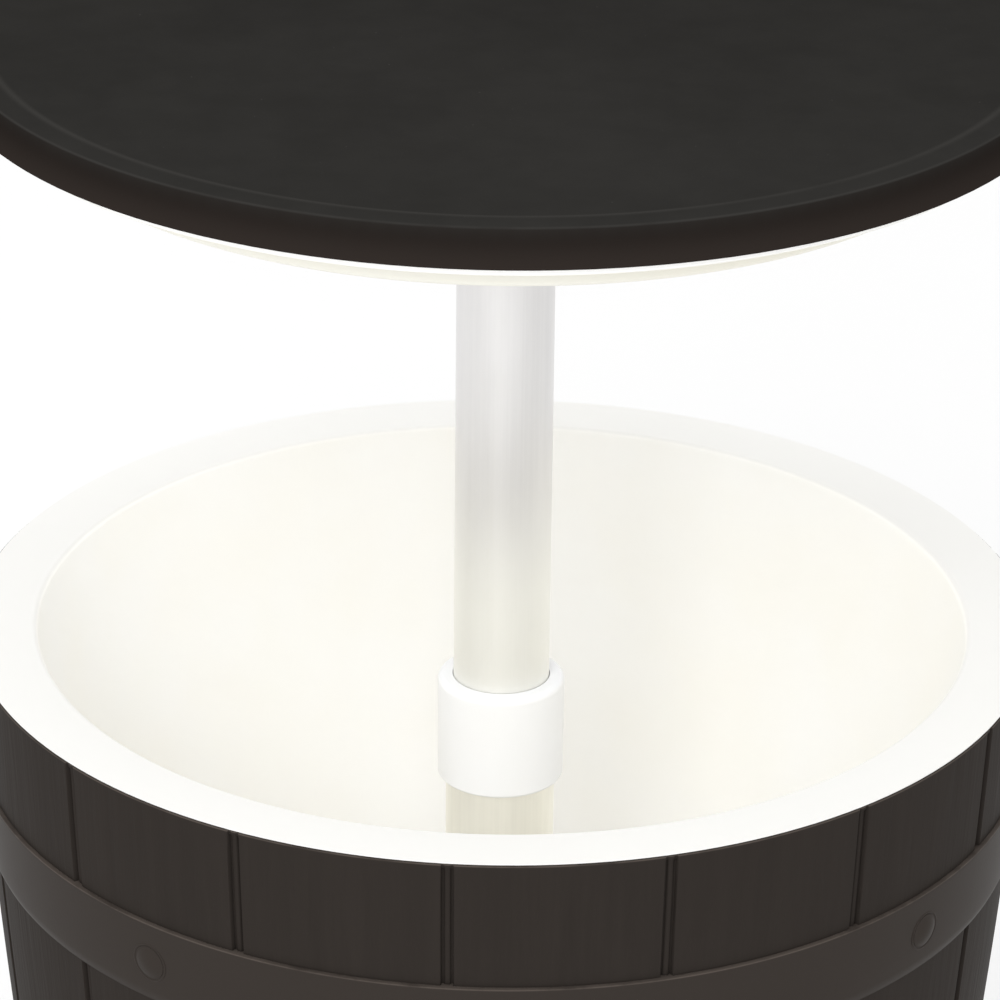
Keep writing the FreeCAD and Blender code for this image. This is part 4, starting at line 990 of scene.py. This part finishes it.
def barrel_ribs():
    """Ribs under the floor, gussets round the tube's socket and ribs behind the staves."""
    sizes = bpy.context.scene.cooler_barrel
    material = ready(barrel_plastic)
    sunk = (FLOOR_LOW + FLOOR_TOP) / 2
    near, far = BOSS_OUTER - 1.0 * MM, (RING_INNER + RING_OUTER) / 2
    under = rib("floor_ribs", [(near, BOSS_END), (far, BOSS_END), (far, sunk), (near, sunk)], 3.0 * MM)
    repeat(under, 12, sizes.first_groove + math.tau / 24, material)
    near, high = TUBE_HOLE + 1.35 * MM, SOCKET_TOP - 3.0 * MM
    gusset = rib("socket_gussets", [
        (near, sunk), (GUSSET_REACH, sunk), (GUSSET_REACH, FLOOR_TOP + 1.0 * MM), (SOCKET_OUTER, high),
        (near, high),
    ], 3.0 * MM)
    repeat(gusset, 6, sizes.first_groove, material)
    heights = evenly(LEDGE - 60.0 * MM, FLOOR_TOP, 40 * MM)
    outer = [(wall_radius(at, SHELL_WALL - 0.5 * MM), at) for at in heights]
    inner = [(wall_radius(at, SHELL_WALL + 5.0 * MM), at) for at in reversed(heights[1:])]
    wall = rib("wall_ribs", outer + inner, 2.5 * MM)
    repeat(wall, sizes.staves, sizes.first_groove, material)
    ribs = join([under, gusset, wall])
    ribs.name = "barrel_ribs"
    dress(ribs, "barrel", "black_plastic", "barrel_shell")


def rivet(sizes, low):
    """Domed rivet head on a hoop, with a fine groove and ring round it, standing out along +X."""
    height = low + sizes.hoop_width - 20.0 * MM
    face = wall_radius(height, -sizes.hoop_proud)
    slope = math.atan2(bow_centre()[1] - height, BOW_RADIUS)
    radius, rise = sizes.rivet_radius, sizes.rivet_rise
    bend = (radius ** 2 + rise ** 2) / (2 * rise)
    dome = []
    for step in range(9):
        at = radius * 0.94 * step / 8
        dome.append((at, math.sqrt(bend ** 2 - at ** 2) - bend + rise))
    edge = [(radius * share, up) for share, up in RIVET_EDGE]
    place = Matrix.Translation((face, 0.0, height)) @ Matrix.Rotation(math.pi / 2 + slope, 4, "Y")
    return lathe("rivet", [*dome, *edge, (0.0, edge[-1][1])], 40, place)


def rivets():
    """Rivet heads on both hoops."""
    sizes = bpy.context.scene.cooler_barrel
    piece = join([rivet(sizes, sizes.upper_hoop), rivet(sizes, sizes.lower_hoop)])
    piece.name = "rivets"
    # The first rivet is on the middle of a stave
    first = sizes.first_groove - math.tau / sizes.staves * 1.5
    repeat(piece, sizes.rivets, first, ready(barrel_plastic))
    smooth(piece, 50.0)
    dress(piece, "barrel", "black_plastic", "barrel_shell")


# Tub


def rounded(corners, steps=10):
    """Points of a closed section whose corners, given as radius, height and rounding, become arcs."""
    points = []
    for index, (radius, height, rounding) in enumerate(corners):
        here = Vector((radius, height))
        if not rounding:
            points.append(tuple(here))
            continue
        before = (Vector(corners[index - 1][:2]) - here).normalized()
        after = (Vector(corners[(index + 1) % len(corners)][:2]) - here).normalized()
        half = before.angle(after) / 2
        middle = here + (before + after).normalized() * (rounding / math.sin(half))
        reach = rounding / math.tan(half)
        start = here + before * reach - middle
        end = here + after * reach - middle
        for step in range(steps + 1):
            points.append(tuple(middle + start.lerp(end, step / steps).normalized() * rounding))
    return points


def tub_section():
    """Section of the tub: flange, wall, floor, sleeve round the tube, and skirt with its catch.

    The flange's edge reaches a little way over the barrel's lip.
    """
    slope = (TUB_MOUTH - TUB_FOOT) / (TUB_DEPTH - FLANGE_DISH)
    skirt_end = LEDGE - 12.0 * MM
    skirt = wall_radius(skirt_end, SHELL_WALL) - 1.2 * MM
    skirt_inner = skirt - 2.0 * MM
    over_lip = LIP_TOP + 0.05 * MM
    return rounded([
        (FLANGE_RADIUS, RIM_TOP, 0.2 * MM),
        (TUB_MOUTH, RIM_TOP - FLANGE_DISH, 3.0 * MM),
        (TUB_FOOT, TUB_FLOOR, 42.0 * MM),
        (SLEEVE_FOOT, TUB_FLOOR, 6.0 * MM),
        (SLEEVE_OUTER, SLEEVE_TOP, 0.4 * MM),
        (SEAL_RADIUS, SLEEVE_TOP, 0.0),
        (SEAL_RADIUS, SLEEVE_TOP - SEAL_DEPTH, 0.0),
        (TUBE_HOLE, SLEEVE_TOP - SEAL_DEPTH, 0.0),
        (TUBE_HOLE, TUB_UNDER, 0.0),
        (TUB_FOOT + TUB_WALL - slope * TUB_WALL, TUB_UNDER, 44.5 * MM),
        (TUB_MOUTH + TUB_WALL, LEDGE - FLANGE_DISH, 0.4 * MM),
        (skirt_inner, LEDGE, 0.6 * MM),
        (skirt_inner, skirt_end, 0.4 * MM),
        (skirt, skirt_end, 0.2 * MM),
        (skirt + 0.9 * MM, skirt_end + 1.5 * MM, 0.3 * MM),
        (skirt, skirt_end + 3.0 * MM, 0.2 * MM),
        (skirt, LEDGE, 0.4 * MM),
        (FLANGE_NECK, LEDGE, 0.2 * MM),
        (FLANGE_NECK, over_lip, 0.0),
        (FLANGE_RADIUS, over_lip, 0.0),
    ])


def tub():
    """The tub, with the seat, spigot and bore of its drain."""
    piece = turned("tub", tub_section(), 192)
    seat, spigot, bore = 18.0 * MM, 11.0 * MM, 9.0 * MM
    cut_away(piece, drum(seat, TUB_FLOOR + 5 * MM, TUB_FLOOR - 1.0 * MM))
    add_on(piece, drum(spigot, TUB_UNDER + 1.0 * MM, TUB_UNDER - 20.0 * MM))
    cut_away(piece, drum(bore, TUB_FLOOR + 5 * MM, TUB_UNDER - 25.0 * MM))
    paint(piece, ready(tub_plastic))
    smooth(piece, 35.0)
    dress(piece, "barrel", "white_plastic", "tub_liner")


# Table top


def tabletop():
    """The table top, with the wide soft slope from its lip down to its recess."""
    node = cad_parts["tabletop"]
    piece = put("table_top", node.data.copy())
    piece.data.transform(node.matrix_world)
    point_outwards(piece)
    for vertex in piece.data.vertices:
        place = vertex.co
        radius = math.hypot(place.x, place.y)
        if place.z >= TABLE_TOP - 2.0 * MM and abs(radius - PACKED_SLOPE) < 1.5 * MM:
            wanted = SLOPE_FOOT if place.z < TABLE_TOP - 0.6 * MM else SLOPE_TOP
            place.x *= wanted / radius
            place.y *= wanted / radius
    paint(piece, ready(top_plastic))
    smooth(piece, 30.0)
    dress(piece, "table", "black_plastic", "tabletop")


# Screws


def screw(name, place, head, rise, shank, length):
    """Pan-head screw that points up, with a cross recess in its head. The place is its seat."""
    section = [(0.0, -rise), *((head * out, -rise * down) for out, down in SCREW_HEAD)]
    section += [(shank, 0.0), (shank, length * 0.88), (shank * 0.35, length), (0.0, length)]
    piece = lathe(name, section, 32)
    long, wide = head * 0.58, head * 0.15
    faces = [(3, 2, 1, 0), (4, 5, 6, 7), (0, 1, 5, 4), (1, 2, 6, 5), (2, 3, 7, 6), (3, 0, 4, 7)]
    for turn in (0.0, math.pi / 2):
        corners = []
        for level, share in ((-rise * 1.1, 1.0), (-rise * 0.45, 0.55)):
            for x, y in ((-long, -wide), (long, -wide), (long, wide), (-long, wide)):
                corners.append(Matrix.Rotation(turn, 3, "Z") @ Vector((x * share, y, level)))
        cut_away(piece, closed_piece("arm", corners, faces))
    piece.data.transform(Matrix.Translation(place))
    return piece


def finish_screws(piece, count, body, node):
    """Repeat a screw round the axis and finish it."""
    repeat(piece, count, 0.0, ready(zinc_steel))
    smooth(piece, 35.0)
    dress(piece, body, "steel", node)


def liner_screws():
    """Screws in sight on the lid's underside."""
    low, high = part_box("liner_screws")
    head, rise = 4.0 * MM, 2.4 * MM
    seat = Vector((high.x - head, 0.0, low.z + rise))
    piece = screw("lid_screws", seat, head, rise, shank=1.9 * MM, length=15.8 * MM)
    finish_screws(piece, 6, "table", "liner_screws")


def foot_screw():
    """The screw under the barrel that holds the tube."""
    rise = 3.5 * MM
    seat = Vector((0.0, 0.0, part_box("tube_foot_screw")[0].z + rise))
    piece = screw("foot_screw", seat, 8.0 * MM, rise, shank=3.0 * MM, length=25.8 * MM)
    finish_screws(piece, 1, "barrel", "tube_foot_screw")


# Stage


def floor():
    """Pale floor round the barrel, large enough to fill every view."""
    reach = 30.0
    corners = [(-reach, -reach, 0), (reach, -reach, 0), (reach, reach, 0), (-reach, reach, 0)]
    piece = new_piece("floor", corners, [(0, 1, 2, 3)])
    paint(piece, ready(studio_floor))


def light(name, place, aim, size, power):
    """Soft square light that looks at a point."""
    lamp = bpy.data.lights.new(name, "AREA")
    lamp.shape = "SQUARE"
    lamp.size = size
    lamp.energy = power
    holder = put(name, lamp)
    holder.location = place
    holder.rotation_euler = (Vector(aim) - Vector(place)).to_track_quat("-Z", "Y").to_euler()


def sky(strength):
    """Even light from all round, behind a backdrop that the camera sees as white."""
    world = bpy.data.worlds.new("Studio")
    bpy.context.scene.world = world
    world.use_nodes = True
    background = world.node_tree.nodes["Background"]
    background.inputs["Color"].default_value = (1.0, 1.0, 1.0, 1.0)
    board = Board(world.node_tree)
    seen = board.add("ShaderNodeLightPath").outputs["Is Camera Ray"]
    board.feed(background.inputs["Strength"], board.spread(seen, 0.0, 1.0, strength, 1.0))


def camera():
    """Camera at the photograph's place."""
    studio = bpy.context.scene.cooler_studio
    rim = Vector((0.0, 0.0, RIM_TOP))
    away = Vector((0.0, -math.cos(studio.elevation), math.sin(studio.elevation)))
    ahead = Vector((
        math.sin(studio.turn) * math.cos(studio.tilt), math.cos(studio.turn) * math.cos(studio.tilt),
        -math.sin(studio.tilt)))
    right = ahead.cross(Vector((0.0, 0.0, 1.0))).normalized()
    up = right.cross(ahead)
    across = right * math.cos(studio.roll) + up * math.sin(studio.roll)
    upright = up * math.cos(studio.roll) - right * math.sin(studio.roll)
    data = bpy.data.cameras.new("Camera")
    data.sensor_width = 36.0
    data.sensor_fit = "HORIZONTAL"
    data.lens = studio.lens
    data.clip_end = 100.0
    holder = put("Camera", data)
    axes = Matrix((across, upright, -ahead)).transposed().to_4x4()
    holder.matrix_world = Matrix.Translation(rim + away * studio.distance) @ axes
    bpy.context.scene.camera = holder


# Operators, one for each piece or group


class BarrelOperator(bpy.types.Operator):
    """Build the staved barrel with its hoops, foot ring, floor and ribs"""

    bl_idname = "cooler.barrel"
    bl_label = "Barrel"

    def execute(self, context):
        barrel()
        barrel_ribs()
        return {"FINISHED"}


class RivetsOperator(bpy.types.Operator):
    """Put the rivet heads on the hoops"""

    bl_idname = "cooler.rivets"
    bl_label = "Rivets"

    def execute(self, context):
        rivets()
        return {"FINISHED"}


class TubOperator(bpy.types.Operator):
    """Build the tub and finish its sleeve cap and seal"""

    bl_idname = "cooler.tub"
    bl_label = "Tub"

    def execute(self, context):
        tub()
        paint_nodes(ready(collar_plastic), "sleeve_cap")
        paint_nodes(ready(seal_rubber), "tube_seal")
        return {"FINISHED"}


class PoleOperator(bpy.types.Operator):
    """Finish the tube, the pole and the plugs and bushes in them"""

    bl_idname = "cooler.pole"
    bl_label = "Tube and pole"

    def execute(self, context):
        paint_nodes(ready(tube_aluminium), "lower_tube")
        paint_nodes(ready(pole_aluminium), "upper_pole")
        paint_nodes(ready(grey_plastic), "tube_foot_plug", "clamp_bush", "guide_bush", "pole_end_plug")
        return {"FINISHED"}


class CollarOperator(bpy.types.Operator):
    """Finish the locking collar"""

    bl_idname = "cooler.collar"
    bl_label = "Collar"

    def execute(self, context):
        paint_nodes(ready(collar_plastic), "lock_collar")
        return {"FINISHED"}


class LidOperator(bpy.types.Operator):
    """Build the table top and finish the lid's liner and its hub"""

    bl_idname = "cooler.lid"
    bl_label = "Lid"

    def execute(self, context):
        tabletop()
        paint_nodes(ready(lid_plastic), "lid_liner", "lid_hub")
        return {"FINISHED"}


class DrainOperator(bpy.types.Operator):
    """Finish the drain plug, its seal and its pipe"""

    bl_idname = "cooler.drain"
    bl_label = "Drain"

    def execute(self, context):
        paint_nodes(ready(collar_plastic), "drain_plug", "drain_pipe")
        paint_nodes(ready(seal_rubber), "plug_seal")
        return {"FINISHED"}


class ScrewsOperator(bpy.types.Operator):
    """Build the screws in sight and finish the hidden ones"""

    bl_idname = "cooler.screws"
    bl_label = "Screws"

    def execute(self, context):
        liner_screws()
        foot_screw()
        paint_nodes(ready(zinc_steel), "bush_screws", "pole_screws", "hub_screws")
        return {"FINISHED"}


class StageOperator(bpy.types.Operator):
    """Set up the floor, the light and the camera"""

    bl_idname = "cooler.stage"
    bl_label = "Stage"

    def execute(self, context):
        studio = context.scene.cooler_studio
        context.scene.view_settings.view_transform = "Standard"
        floor()
        sky(studio.sky)
        light("Key light", place=(-0.4, -2.0, 2.1), aim=(0.0, 0.0, 0.6), size=1.2, power=studio.key)
        camera()
        return {"FINISHED"}


OPERATORS = (
    BarrelOperator, RivetsOperator, TubOperator, PoleOperator, CollarOperator, LidOperator, DrainOperator,
    ScrewsOperator, StageOperator,
)


class CoolerPanel(bpy.types.Panel):
    """Lists the steps that build the cooler table's looks, and its sizes and colours"""

    bl_idname = "VIEW3D_PT_cooler_table"
    bl_label = "Cooler table"
    bl_space_type = "VIEW_3D"
    bl_region_type = "UI"
    bl_category = "Cooler table"

    def draw(self, context):
        for step in OPERATORS:
            self.layout.operator(step.bl_idname)
        for group in SETTINGS:
            settings = getattr(context.scene, group)
            box = self.layout.box()
            for name in settings.__annotations__:
                box.prop(settings, name)


SETTINGS = {"cooler_barrel": BarrelSizes, "cooler_finishes": Finishes, "cooler_studio": Studio}
CLASSES = (*SETTINGS.values(), *OPERATORS, CoolerPanel)


def register():
    for item in CLASSES:
        bpy.utils.register_class(item)
    for name, group in SETTINGS.items():
        setattr(bpy.types.Scene, name, PointerProperty(type=group))


def unregister():
    for name in SETTINGS:
        delattr(bpy.types.Scene, name)
    for item in reversed(CLASSES):
        bpy.utils.unregister_class(item)


def main():
    register()
    for step in OPERATORS:
        group, name = step.bl_idname.split(".")
        getattr(getattr(bpy.ops, group), name)()


if __name__ == "__main__":
    main()
